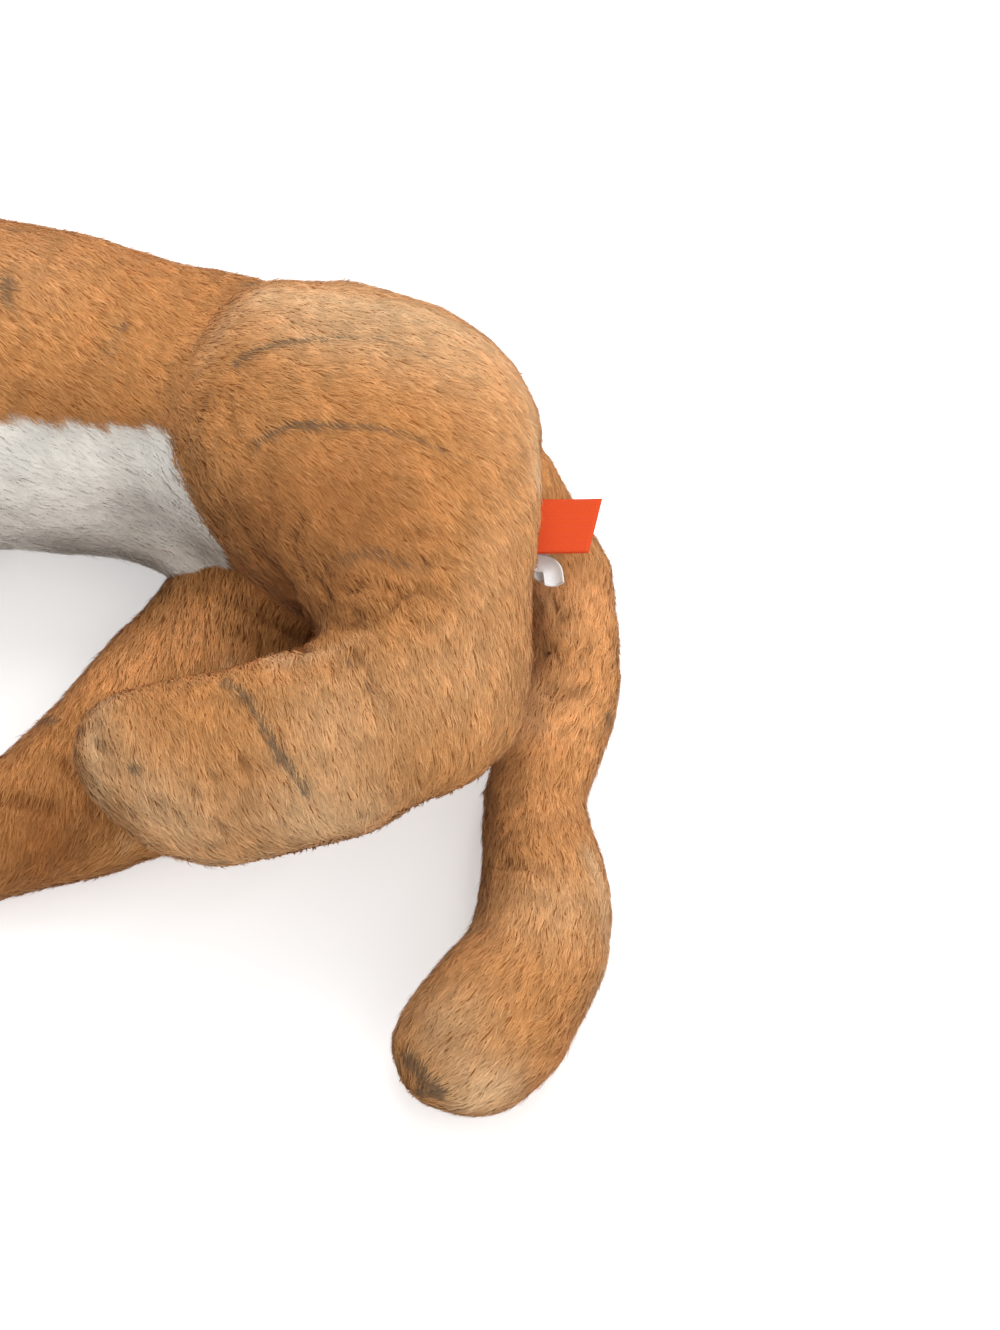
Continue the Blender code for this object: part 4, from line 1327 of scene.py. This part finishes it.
    def mark(self, strokes: Iterable[tuple[Stripe, np.ndarray]], halos: Iterable[tuple[Stripe, np.ndarray]],
             glows: Iterable[tuple[Glow, Vector]], others: Sequence[PlushPart]) -> None:
        """Write the attributes that the pile and the cloth read.

        Args:
            strokes: stripes with their routes in metres.
            halos: painted highlights along edges, with their routes in metres.
            glows: places of painted highlight and painted shade, with their middles in metres.
            others: the parts that may hide this one.
        """
        mesh = self.skin.data
        points = coordinates(mesh)
        normals = directions(mesh)
        comb = self.flow(points)
        comb -= normals * np.sum(comb * normals, axis=1, keepdims=True)
        comb /= np.maximum(np.linalg.norm(comb, axis=1, keepdims=True), LEAST)
        store(mesh, "comb", comb)
        dark = np.zeros(len(points))
        for stripe, route in strokes:
            dark = np.maximum(dark, stripe.mask(points, route))
        store(mesh, "stripe", dark)
        store(mesh, "pale", self.paleness(points))
        # Painted highlight and painted shade with painted brightening from the glows, then painted
        # highlights from the halos
        tone = np.zeros(len(points))
        gain = np.zeros(len(points))
        for glow, middle in glows:
            near = fade(np.linalg.norm(points - np.array(middle), axis=1), glow.reach)
            tone += glow.amount * near
            gain += glow.gain * near
        store(mesh, "gain", gain)
        for halo, route in halos:
            tone += halo.mask(points, route)
        store(mesh, "tone", np.clip(tone, -1, 1))
        # The creases' mask, for the painted shade in them
        store(mesh, "fold", self.creased)
        store(mesh, "pile", self.pile_shares(points))
        open_air = np.array([0.0 if any(self.buried(p, o) for o in others) else 1.0 for p in points])
        pressed = (points[:, 2] < self.PRESSED_HEIGHT) & (normals[:, 2] < self.FACES_DOWN)
        self.open_air = np.where(pressed, self.PRESSED_COVER * open_air, open_air)

    def buried(self, point: np.ndarray, other: PlushPart) -> bool:
        """Tell whether a point lies deep inside another part."""
        near, normal, _, gap = other.tree.find_nearest(Vector(point), self.BURIED_REACH)
        return near is not None and gap > self.BURIED_DEPTH and (Vector(point) - near).dot(normal) < 0

    def paleness(self, points: np.ndarray) -> np.ndarray:
        """Return 1 where the white cloth is nearest, and 0 on the orange.

        Args:
            points: rows of places in metres.

        Returns:
            One share of white for each point.
        """
        if not self.pale_nodes:
            return np.zeros(len(points))
        pale = node_tree(*self.pale_nodes)
        orange = node_tree(*self.orange_nodes)
        return np.array([float(pale.find_nearest(Vector(p))[3] < orange.find_nearest(Vector(p))[3])
                         for p in points])

    def pile_shares(self, points: np.ndarray) -> np.ndarray:
        """Return how long the pile is at each point as a share of its full length."""
        return np.ones(len(points))

    def dress(self, tree: PileTree, pile_finish: bpy.types.Material, backing: bpy.types.Material) -> None:
        """Grow the pile, give both their materials, and carry them on their bodies or bake their places
        where the part has a bend.

        Args:
            tree: the tree that grows the pile.
            pile_finish: the strands' material.
            backing: the cloth's material.
        """
        mesh = self.skin.data
        mesh.materials.clear()
        mesh.materials.append(backing)
        pale = read(mesh.attributes["pale"].data, "value")
        for coat, count in self.strands.items():
            share = 1 - pale if coat is Coat.ORANGE else pale
            cover = self.open_air * (share if self.pale_nodes else 1)
            areas = corner_areas(mesh) * cover
            density = count / max(float(areas.sum()), LEAST)
            bands = self.bands(areas, math.ceil(count / tree.PIECE_STRANDS))
            for i, band in enumerate(bands):
                store(mesh, "cover", cover * band)
                name = f"{self.name}_{coat.name.lower()}_pile_{i + 1}"
                pile = tree.grow(name, mesh, density, self.length, self.unrest, self.lock, pile_finish)
                self.carry(pile)
                LOG.info("%s: %d faces", name, len(pile.data.polygons))
        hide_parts(*self.replaced)
        self.carry(self.skin)

    def bands(self, areas: np.ndarray, count: int) -> list[np.ndarray]:
        """Share the skin's points among bands of like area along its longest side.

        Args:
            areas: the area of each point.
            count: how many bands.

        Returns:
            One mask of the points for each band.
        """
        points = coordinates(self.skin.data)
        place = points[:, int(np.argmax(np.ptp(points, axis=0)))]
        order = np.argsort(place)
        total = np.cumsum(areas[order])
        band = np.empty(len(points), int)
        band[order] = np.minimum(count * total / max(total[-1], LEAST), count - 1).astype(int)
        return [(band == i).astype(float) for i in range(count)]

    def carry(self, piece: bpy.types.Object) -> None:
        """Ride on the part's body, or, where the part has a bend, keep its place baked into its mesh.

        Args:
            piece: the object to carry.
        """
        if self.bend is None:
            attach(piece, self.body)
        else:
            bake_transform(piece)


@dataclass
class Trunk(PlushPart):
    """The trunk, whose own stations fill the sockets that the legs leave in the solids."""

    white_end_y: float = 0.041
    rump_y: float = 0.129
    neck_y: float = -0.120
    neck_run: float = 0.012
    radius: float = 0.054
    axis_z: float = AXIS_Z
    inset: float = 0.0027
    around: int = 64
    rounds: int = 6
    ring_step: float = 0.0042
    # Each row: place from rump to neck, radius and shift towards the spine as shares, and 1
    # where the trunk rests on the floor
    station_shares: tuple[tuple[float, ...], ...] = (
        (0.012, 0.29, 0.0, 0), (0.04, 0.55, 0.0, 0), (0.088, 0.76, 0.0, 0), (0.16, 0.90, 0.0, 0),
        (0.257, 0.94, 0.03, 1), (0.37, 0.90, 0.13, 1), (0.46, 0.865, 0.19, 1), (0.565, 0.94, 0.14, 1),
        (0.68, 1.0, 0.085, 1), (0.79, 0.985, 0.04, 1), (0.888, 0.91, 0.02, 0), (0.956, 0.80, 0.0, 0),
        (1.02, 0.70, 0.0, 0),
    )

    def form(self) -> bpy.types.Object:
        """Loft the trunk through its stations.

        Returns:
            The trunk's plain form as an object.
        """
        length = self.rump_y - self.neck_y
        rows = []
        for share, size, shift, rests in self.station_shares:
            radius = self.radius * size
            z = radius if rests else self.axis_z - VENTRAL.z * self.radius * shift
            x, _, _ = toy(-VENTRAL.x * self.radius * shift, 0, 0)
            rows.append((self.rump_y - length * share, radius - self.inset, x, z))
        rows = np.array(rows)
        steps = np.arange(rows[0, 0], rows[-1, 0], -self.ring_step)
        track = np.stack([np.interp(-steps, -rows[:, 0], rows[:, i]) for i in range(4)], 1)
        for _ in range(self.rounds):
            track[1:-1] = (track[:-2] + 2 * track[1:-1] + track[2:]) / 4
        bm = bmesh.new()
        rings = []
        for y, radius, x, z in track:
            turns = [math.tau * i / self.around for i in range(self.around)]
            rings.append([bm.verts.new((x + radius * math.cos(turn), y, z + radius * math.sin(turn)))
                          for turn in turns])
        for near, far in zip(rings, rings[1:]):
            for i in range(self.around):
                j = (i + 1) % self.around
                bm.faces.new((near[i], near[j], far[j], far[i]))
        ends = ((rings[0], toy(0, self.rump_y - self.inset, self.axis_z)),
                (rings[-1], toy(0, self.neck_y - self.neck_run, self.axis_z)))
        for ring, pole in ends:
            tip = bm.verts.new(pole)
            for i in range(self.around):
                bm.faces.new((ring[i], ring[(i + 1) % self.around], tip))
        bmesh.ops.recalc_face_normals(bm, faces=bm.faces)
        return link_mesh(self.name, finished(bm, self.name))

    def paleness(self, points: np.ndarray) -> np.ndarray:
        """End the white between the hind legs."""
        return super().paleness(points) * (points[:, 1] < self.white_end_y)


def on_head(side: float, up: float, ahead: float) -> Point:
    """Return a place given from the head's middle by its own directions."""
    return tuple(HEAD_MIDDLE + HEAD_SIDE * side + HEAD_UP * up - Vector((0, ahead, 0)))


def head_coordinates(points: np.ndarray) -> tuple[np.ndarray, np.ndarray, np.ndarray]:
    """Return how far points lie sideways, up and ahead of the head's middle."""
    away = points - np.array(HEAD_MIDDLE)
    return away @ np.array(HEAD_SIDE), away @ np.array(HEAD_UP), -away[:, 1]


@dataclass
class Head(PlushPart):
    """The head, with a shorter pile towards the nose and a white face split by an orange bridge."""

    nose_y: float = -0.232
    short_share: float = 0.5
    short_reach: float = 0.055
    muzzle_top: float = 0.001
    bridge_half: float = 0.0065
    bridge_flare: float = 0.25
    # Round places of its own: sideways, up, ahead, and how far they reach
    brow: tuple[float, ...] = (0.0205, 0.0135, 0.036, 0.0125)
    cheek: tuple[float, ...] = (0.036, -0.024, 0.016, 0.017)
    pad: tuple[float, ...] = (0.0115, -0.010, 0.044, 0.0078)
    pad_height: float = 0.0032

    def paleness(self, points: np.ndarray) -> np.ndarray:
        """Whiten the muzzle, the rings round the eyes and the cheeks.

        Args:
            points: rows of places in metres.

        Returns:
            One share of white for each point.
        """
        side, up, _ = head_coordinates(points)
        bridge = np.abs(side) < self.bridge_half + self.bridge_flare * np.maximum(up, 0)
        brow, cheek = (self.off(points, place) < place[3] for place in (self.brow, self.cheek))
        muzzle = (super().paleness(points) > 0.5) & (up < self.muzzle_top)
        return (muzzle | (brow & ~bridge) | cheek).astype(float)

    @staticmethod
    def off(points: np.ndarray, place: tuple[float, ...]) -> np.ndarray:
        """Return how far points lie from a place that the head has on both sides.

        Args:
            points: rows of places in metres.
            place: sideways, up, ahead and its reach.

        Returns:
            One distance in metres for each point.
        """
        side, up, ahead = head_coordinates(points)
        x, y, z, _ = place
        return np.linalg.norm(np.stack((np.abs(side) - x, up - y, ahead - z), 1), axis=1)

    def lumps(self) -> np.ndarray:
        """Swell the two pads beside the mouth."""
        gap = self.off(coordinates(self.skin.data), self.pad)
        return super().lumps() + self.pad_height * fade(gap, self.pad[3])

    def pile_shares(self, points: np.ndarray) -> np.ndarray:
        """Shorten the pile towards the nose."""
        rise = smooth_step(points[:, 1], self.nose_y, self.nose_y + self.short_reach)
        return self.short_share + (1 - self.short_share) * rise


# Combing from the head to the rump, down the far hind leg, and from the shoulders to the front paws
TRUNK_WAY = (0.38, 1.0, -0.05)
FAR_LEG_WAY = (1.0, 0.15, 0.0)
FRONT_LEG_WAY = (0.9, -0.4, 0.0)
# Combing over the hip and on the shank, and where the one becomes the other
HIP_WAY = (0.12, 1.0)
SHANK_WAY = (1.0, 0.75)
SHANK_SPAN = (-0.01, 0.085)
# Where the face's and the ears' combing starts from
FACE_START = toy(0.0, -0.225, 0.047)
FACE_LEAST_BACK = 0.02
EAR_START = toy(0.0, -0.160, 0.052)
# The tail's middle line across the floor
TAIL_ROUTE = ((-0.014, 0.120), (-0.003, 0.142), (0.011, 0.148), (0.028, 0.151), (0.068, 0.150),
              (0.105, 0.164), (0.121, 0.166), (0.149, 0.157), (0.171, 0.146))


def one_way(way: Point) -> Callable[[np.ndarray], np.ndarray]:
    """Return a combing that goes the same way everywhere."""
    return lambda points: np.tile(way, (len(points), 1))


def near_leg_flow(points: np.ndarray) -> np.ndarray:
    """Comb backwards over the hip, and down and back on the shank.

    Args:
        points: rows of places in metres.

    Returns:
        One row for each point.
    """
    share = smooth_step(points[:, 0] - AXIS_X, *SHANK_SPAN)
    x, y = (hip + (shank - hip) * share for hip, shank in zip(HIP_WAY, SHANK_WAY))
    return np.stack((x, y, np.zeros(len(points))), 1)


def head_flow(points: np.ndarray) -> np.ndarray:
    """Comb from the nose outwards and back.

    Args:
        points: rows of places in metres.

    Returns:
        One row for each point.
    """
    away = points - np.array(FACE_START)
    away[:, 1] = np.maximum(away[:, 1], 0) + FACE_LEAST_BACK
    return away


def tail_flow(points: np.ndarray) -> np.ndarray:
    """Comb along the tail's own route towards its tip.

    Args:
        points: rows of places in metres.

    Returns:
        One row for each point.
    """
    route = np.array(TAIL_ROUTE)
    route[:, 0] += AXIS_X
    best = np.full(len(points), np.inf)
    ways = np.zeros((len(points), 3))
    for near, far in zip(route, route[1:]):
        run = far - near
        share = np.clip((points[:, :2] - near) @ run / (run @ run), 0, 1)
        gap = np.linalg.norm(points[:, :2] - near - share[:, None] * run, axis=1)
        closer = gap < best
        best = np.where(closer, gap, best)
        ways[closer, :2] = run / np.linalg.norm(run)
    return ways


def ear_flow(points: np.ndarray) -> np.ndarray:
    """Comb outwards from the head."""
    return points - np.array(EAR_START)


@dataclass
class Face:
    """Eyes, nose and mouth, smoothed from the construction's own pieces."""

    levels: int = 2
    eye: MouldedFinish = MouldedFinish((0.010, 0.007, 0.006), (0.020, 0.011, 0.007), 0.06, 0.05, 0.16)
    nose: MouldedFinish = MouldedFinish((0.16, 0.055, 0.050), (0.10, 0.035, 0.032), 0.35, 0.1, 0.35)
    thread: MouldedFinish = MouldedFinish((0.03, 0.024, 0.02), (0.07, 0.055, 0.045), 0.8, 0.0)
    washer: MouldedFinish = MouldedFinish((0.72, 0.72, 0.69), (0.62, 0.62, 0.6), 0.4, 0.0)

    def build(self) -> None:
        """Build each piece and put it on the head."""
        for node, finish in (("left_eye", self.eye), ("right_eye", self.eye), ("nose", self.nose),
                             ("mouth_thread", self.thread)):
            self.round_off(node, finish)
        washer = self.washer.material("washer_plastic")
        for node in ("left_eye_washer", "right_eye_washer", "nose_washer"):
            slots = frame["nodes"][node].data.materials
            slots.clear()
            slots.append(washer)

    def round_off(self, node: str, finish: MouldedFinish) -> None:
        """Replace a faceted piece with a smooth one of the same place.

        Args:
            node: the CAD node's name.
            finish: its plastic or thread.
        """
        piece = link_mesh(node + "_smooth", finished(merged(node), node))
        refine(piece, self.levels)
        piece.data.shade_smooth()
        piece.data.materials.clear()
        piece.data.materials.append(finish.material(node + "_finish"))
        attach(piece, "head")
        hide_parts(node)
        LOG.info("%s: %d faces", piece.name, len(piece.data.polygons))


@dataclass
class Ribbon:
    """A strip of woven cloth that leaves a seam and curls at its free end."""

    node: str
    wide: float
    long: float
    curl: float
    cup: float
    finish: WovenFinish
    turn: float = 0.0
    bend: float = 0.0
    shear: float = 0.0
    start: float = 0.0
    wall: float = 0.0004
    curl_power: float = 2.2
    bend_share: Span = (0.3, 0.75)
    steps: int = 18
    least_sheet: float = 0.01

    def build(self) -> None:
        """Build the strip where its solid lies."""
        low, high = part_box(self.node)
        middle = (Vector(low) + Vector(high)) / 2
        root_y = low[1] + self.start
        mesh = bpy.data.meshes.new(self.node)
        points: list[Vector] = []
        uvs: list[Pixel] = []
        hem: list[float] = []
        spine = Vector((middle.x, root_y, middle.z))
        for i in range(self.steps + 1):
            share = i / self.steps
            heading = self.turn + self.bend * smooth_step(np.array(share), *self.bend_share)
            way = Vector((0, math.cos(heading), 0)) + VENTRAL * math.sin(heading)
            across = VENTRAL * math.cos(heading) - Vector((0, math.sin(heading), 0))
            for j in range(self.steps + 1):
                side = 2 * j / self.steps - 1
                lift = self.curl * share ** self.curl_power + self.cup * side * side * share
                place = spine + across * (side * self.wide / 2) - way * (self.shear * side * self.wide / 2)
                points.append(place + LEFT * lift)
                uvs.append(((side + 1) / 2 * self.wide, share * self.long))
                hem.append(float(i == self.steps or abs(side) == 1))
            spine = spine + way * (self.long / self.steps)
        row = self.steps + 1
        faces = [(i * row + j, i * row + j + 1, (i + 1) * row + j + 1, (i + 1) * row + j)
                 for i in range(self.steps) for j in range(self.steps)]
        mesh.from_pydata(points, [], faces)
        store(mesh, "hem", np.array(hem))
        layer = mesh.uv_layers.new(name="cloth")
        for loop in mesh.loops:
            layer.data[loop.index].uv = uvs[loop.vertex_index]
        strip = link_mesh(self.node + "_cloth", mesh)
        wall = strip.modifiers.new("wall", "SOLIDIFY")
        wall.thickness = self.wall
        wall.offset = 0
        settle(strip)
        strip.data.shade_smooth()
        strip.data.materials.append(self.finish.material(self.node + "_finish"))
        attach(strip, "torso")
        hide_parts(self.node)
        LOG.info("%s: %d faces", strip.name, len(strip.data.polygons))


RED = WovenFinish((0.81, 0.127, 0.017), (0.62, 0.055, 0.008), 0.0006, 0.7)
SATIN = WovenFinish((0.84, 0.84, 0.83), (0.66, 0.66, 0.65), 0.0004, 0.45)

# Sparse strokes of the same kind for what the photograph doesn't show. Those of the head give places
# sideways, up and ahead, and lie on both sides
HEAD_STROKES = strokes(
    (0.0019, 1.0, 0.4, (0.004, 0.037, 0.034), (0.012, 0.036, 0.033), (0.020, 0.031, 0.031)),
    (0.0020, 1.0, 0.4, (0.005, 0.043, 0.026), (0.015, 0.041, 0.024), (0.025, 0.035, 0.023)),
    (0.0020, 0.95, 0.4, (0.006, 0.049, 0.010), (0.016, 0.047, 0.009)),
    (0.0023, 1.0, 0.5, (0.046, 0.010, 0.006), (0.043, 0.004, 0.022)),
    (0.0023, 1.0, 0.5, (0.048, -0.004, 0.004), (0.044, -0.008, 0.020)),
    (0.0020, 0.95, 0.4, (0.036, 0.034, 0.004), (0.041, 0.022, 0.012)),
)
CROWN_STROKE = Stripe(((0, 0.040, 0.032), (0, 0.047, 0.018), (0, 0.050, 0.0)), 0.0021, 1.0, 0.5)
# Each row: where a stroke of the trunk starts along it, its two turns from the flank and its half width
TRUNK_STROKES = ((-0.062, 12, 52, 0.0020), (-0.090, 30, 72, 0.0020), (-0.045, 66, 98, 0.0018),
                 (0.020, 62, 92, 0.0018), (0.060, 80, 104, 0.0018), (-0.075, 108, 146, 0.0020),
                 (-0.020, 112, 150, 0.0020), (0.040, 116, 152, 0.0018))
TRUNK_STROKE_RUN = 0.012
TRUNK_STROKE_STRENGTH = (0.95, 0.35)
TRUNK_STROKE_STEPS = 3
# Places across the floor, pressed onto the skins from above and from below
LEG_STROKES = strokes(
    (0.0020, 0.95, 0.5, (0.064, -0.068), (0.074, -0.084), (0.079, -0.100)),
    (0.0020, 0.95, 0.5, (0.100, -0.086), (0.109, -0.103), (0.112, -0.120)),
    (0.0019, 0.9, 0.4, (0.132, -0.112), (0.139, -0.128)),
)
LEG_STROKE_HEIGHTS = (0.10, 0.0)


def own_stripes() -> list[Stripe]:
    """Return the strokes of the toy's unseen half, placed in the frame.

    Returns:
        The strokes, with points in metres.
    """
    found = [replace(stroke, points=tuple(on_head(side * x, y, z) for x, y, z in stroke.points))
             for side in (-1, 1) for stroke in (CROWN_STROKE, *HEAD_STROKES)]
    for y, low, high, wide in TRUNK_STROKES:
        points = tuple(on_trunk(y + TRUNK_STROKE_RUN * i / TRUNK_STROKE_STEPS,
                                low + (high - low) * i / TRUNK_STROKE_STEPS)
                       for i in range(TRUNK_STROKE_STEPS + 1))
        found.append(Stripe(points, wide, *TRUNK_STROKE_STRENGTH))
    found += [replace(stroke, points=tuple((x, y, height) for x, y in stroke.points))
              for height in LEG_STROKE_HEIGHTS for stroke in LEG_STROKES]
    return found


def laid(stripe: Stripe, parts: Sequence[PlushPart], steps: int = 6) -> np.ndarray:
    """Return a stroke's route, pressed onto the nearest skins.

    Args:
        stripe: the stroke.
        parts: the toy's stuffed parts.
        steps: points for each stretch of the stroke.

    Returns:
        Rows of places on the skins.
    """
    route = []
    for near, far in zip(stripe.points, stripe.points[1:]):
        for i in range(steps):
            place = Vector(near).lerp(Vector(far), i / (steps - 1))
            hits = [part.tree.find_nearest(place) for part in parts]
            route.append(min(hits, key=lambda hit: hit[3])[0])
    return np.array(route)


def build_leg(name: str, flow: Callable, count: int, bend: Bend, **more: object) -> PlushPart:
    """Describe one leg from its CAD pieces.

    Args:
        name: what its CAD nodes' names start with.
        flow: its combing.
        count: how many strands it has.
        bend: how its root bends.
        **more: other fields of the part.

    Returns:
        The leg.
    """
    nodes = tuple(f"{name}_{piece}" for piece in ("outer_panel", "inner_panel", "stuffing"))
    return PlushPart(f"{name}_leg", f"{name}_leg", nodes[2:], nodes, flow, {Coat.ORANGE: count}, bend=bend,
                     **more)


def build_ear(side: str) -> PlushPart:
    """Describe one ear from its CAD pieces.

    Args:
        side: left or right.

    Returns:
        The ear.
    """
    back, lining = nodes = (f"{side}_ear_back", f"{side}_ear_lining")
    return PlushPart(f"{side}_ear", "head", nodes, nodes, ear_flow, {Coat.ORANGE: 5500, Coat.LINING: 3500},
                     pale_nodes=(lining,), orange_nodes=(back,), voxel=0.0014, drawn_in=0.0004,
                     puff_cap=0.0006, length=0.0050, smoothing=4, fill=0.5, swells=())


def build_parts() -> list[PlushPart]:
    """Describe every stuffed part of the toy.

    Returns:
        The trunk, then the limbs, tail, head and ears.
    """
    hip = Bend("torso", toy(-0.025, 0.076, 0.05), toy(0.050, 0.076, 0.05))
    shoulder = Bend("torso", toy(-0.015, -0.0785, 0.05), toy(0.045, -0.105, 0.05))
    tail_root = Bend("torso", toy(-0.014, 0.118, 0.05), toy(-0.006, 0.140, 0.04))
    trunk = Trunk("trunk", "torso", (),
                  ("torso_stuffing", "back_panel_left", "back_panel_right", "belly_panel", "rump_gusset"),
                  one_way(TRUNK_WAY), {Coat.ORANGE: 116000, Coat.WHITE: 39000}, pale_nodes=("belly_panel",),
                  orange_nodes=("back_panel_left", "back_panel_right", "rump_gusset"), smoothing=2,
                  drawn_in=0.0002)
    near_hind = build_leg("left_hind", near_leg_flow, 115000, hip, levels=2)
    far_hind = build_leg("right_hind", one_way(FAR_LEG_WAY), 54000, hip, levels=2, drawn_in=-0.0029)
    fronts = [build_leg(f"{side}_front", one_way(FRONT_LEG_WAY), 32000, shoulder, leaves=("head_plush",))
              for side in ("left", "right")]
    tail = PlushPart("tail_plush", "tail", ("tail_stuffing",), ("tail_skin", "tail_stuffing"), tail_flow,
                     {Coat.ORANGE: 60000}, bend=tail_root, voxel=0.0036, fillet=0.016, levels=2, unrest=0.26)
    head = Head("head_plush", "head", ("head_stuffing",),
                ("head_stuffing", "head_panel_left", "head_panel_right", "muzzle_panel"),
                head_flow, {Coat.ORANGE: 48000, Coat.WHITE: 18000}, pale_nodes=("muzzle_panel",),
                orange_nodes=("head_panel_left", "head_panel_right"),
                leaves=("trunk", "left_front_leg", "right_front_leg"))
    return [trunk, near_hind, far_hind, *fronts, tail, head, *map(build_ear, ("left", "right"))]


def join(parts: Sequence[PlushPart]) -> None:
    """Round the creases between the trunk and each limb, and make the skins uneven.

    Args:
        parts: the trunk and then the others.
    """
    trunk, *limbs = parts
    lifts = [part.lumps() + part.joining_lift(limbs[:6] if part is trunk else [trunk]) for part in parts]
    for part, lift in zip(parts, lifts):
        part.shape(lift)


def seen_place(pixel: Pixel, parts: Sequence[PlushPart], lens: Lens) -> Vector | None:
    """Return the place on the skins that shows at a pixel of the photograph.

    Args:
        pixel: a place in the photograph's frame.
        parts: the toy's stuffed parts.
        lens: the photograph's viewpoint.

    Returns:
        The place, or nothing where the ray misses the toy.
    """
    hits = [part.tree.ray_cast(lens.place, lens.ray(pixel)) for part in parts]
    hits = [hit for hit in hits if hit[0] is not None]
    return min(hits, key=lambda hit: hit[3])[0] if hits else None


def traced(seen: Sequence[Stripe], parts: Sequence[PlushPart],
           lens: Lens) -> list[tuple[Stripe, np.ndarray]]:
    """Lay the strokes that the photograph shows on the skins that the camera sees.

    Args:
        seen: strokes with points in pixels.
        parts: the toy's stuffed parts.
        lens: the photograph's viewpoint.

    Returns:
        The strokes that lie on the toy, with their routes in metres.
    """
    found = []
    for stripe in seen:
        route = [seen_place(pixel, parts, lens) for pixel in stripe.points]
        route = [place for place in route if place is not None]
        if len(route) > 1:
            found.append((stripe, np.array(route)))
    return found


def main() -> None:
    """Build the toy and the studio round it."""
    logging.basicConfig(level=logging.INFO, format="%(name)s: %(message)s")
    bpy.context.scene.view_settings.view_transform = "Standard"
    lens = Lens()
    lens.build()
    Studio().build()
    parts = build_parts()
    for part in parts:
        part.build_skin()
    join(parts)
    for part in parts:
        part.nudge(SEEN_NUDGES, lens)
    creases = traced(SEEN_CREASES, parts, lens)
    for part in parts:
        part.fold(creases)
    marks = traced(SEEN_STRIPES, parts, lens) + [(stripe, laid(stripe, parts)) for stripe in own_stripes()]
    halos = traced(SEEN_HALOS, parts, lens)
    glows = [(glow, seen_place(glow.pixel, parts, lens)) for glow in SEEN_GLOWS]
    glows = [(glow, middle) for glow, middle in glows if middle is not None]
    plush = PlushFinish()
    pile_finish, backing = plush.pile("pile"), plush.backing("backing")
    tree = PileTree()
    for part in parts:
        others = [other for other in parts if other is not part and other.name not in part.leaves]
        part.mark(marks, halos, glows, others)
        part.dress(tree, pile_finish, backing)
    bpy.data.objects.remove(tree.strand, do_unlink=True)
    Face().build()
    for ribbon in (
        Ribbon("seam_label", 0.0175, 0.0213, 0.0012, 0.0004, RED, turn=math.radians(-15), shear=0.2),
        Ribbon("care_label_long", 0.0058, 0.0150, 0.0030, 0.0024, SATIN, bend=math.radians(66), start=0.003),
        Ribbon("care_label_short", 0.0046, 0.0145, 0.0030, 0.0020, SATIN, bend=math.radians(108),
               start=0.001),
    ):
        ribbon.build()


if __name__ == "__main__":
    main()
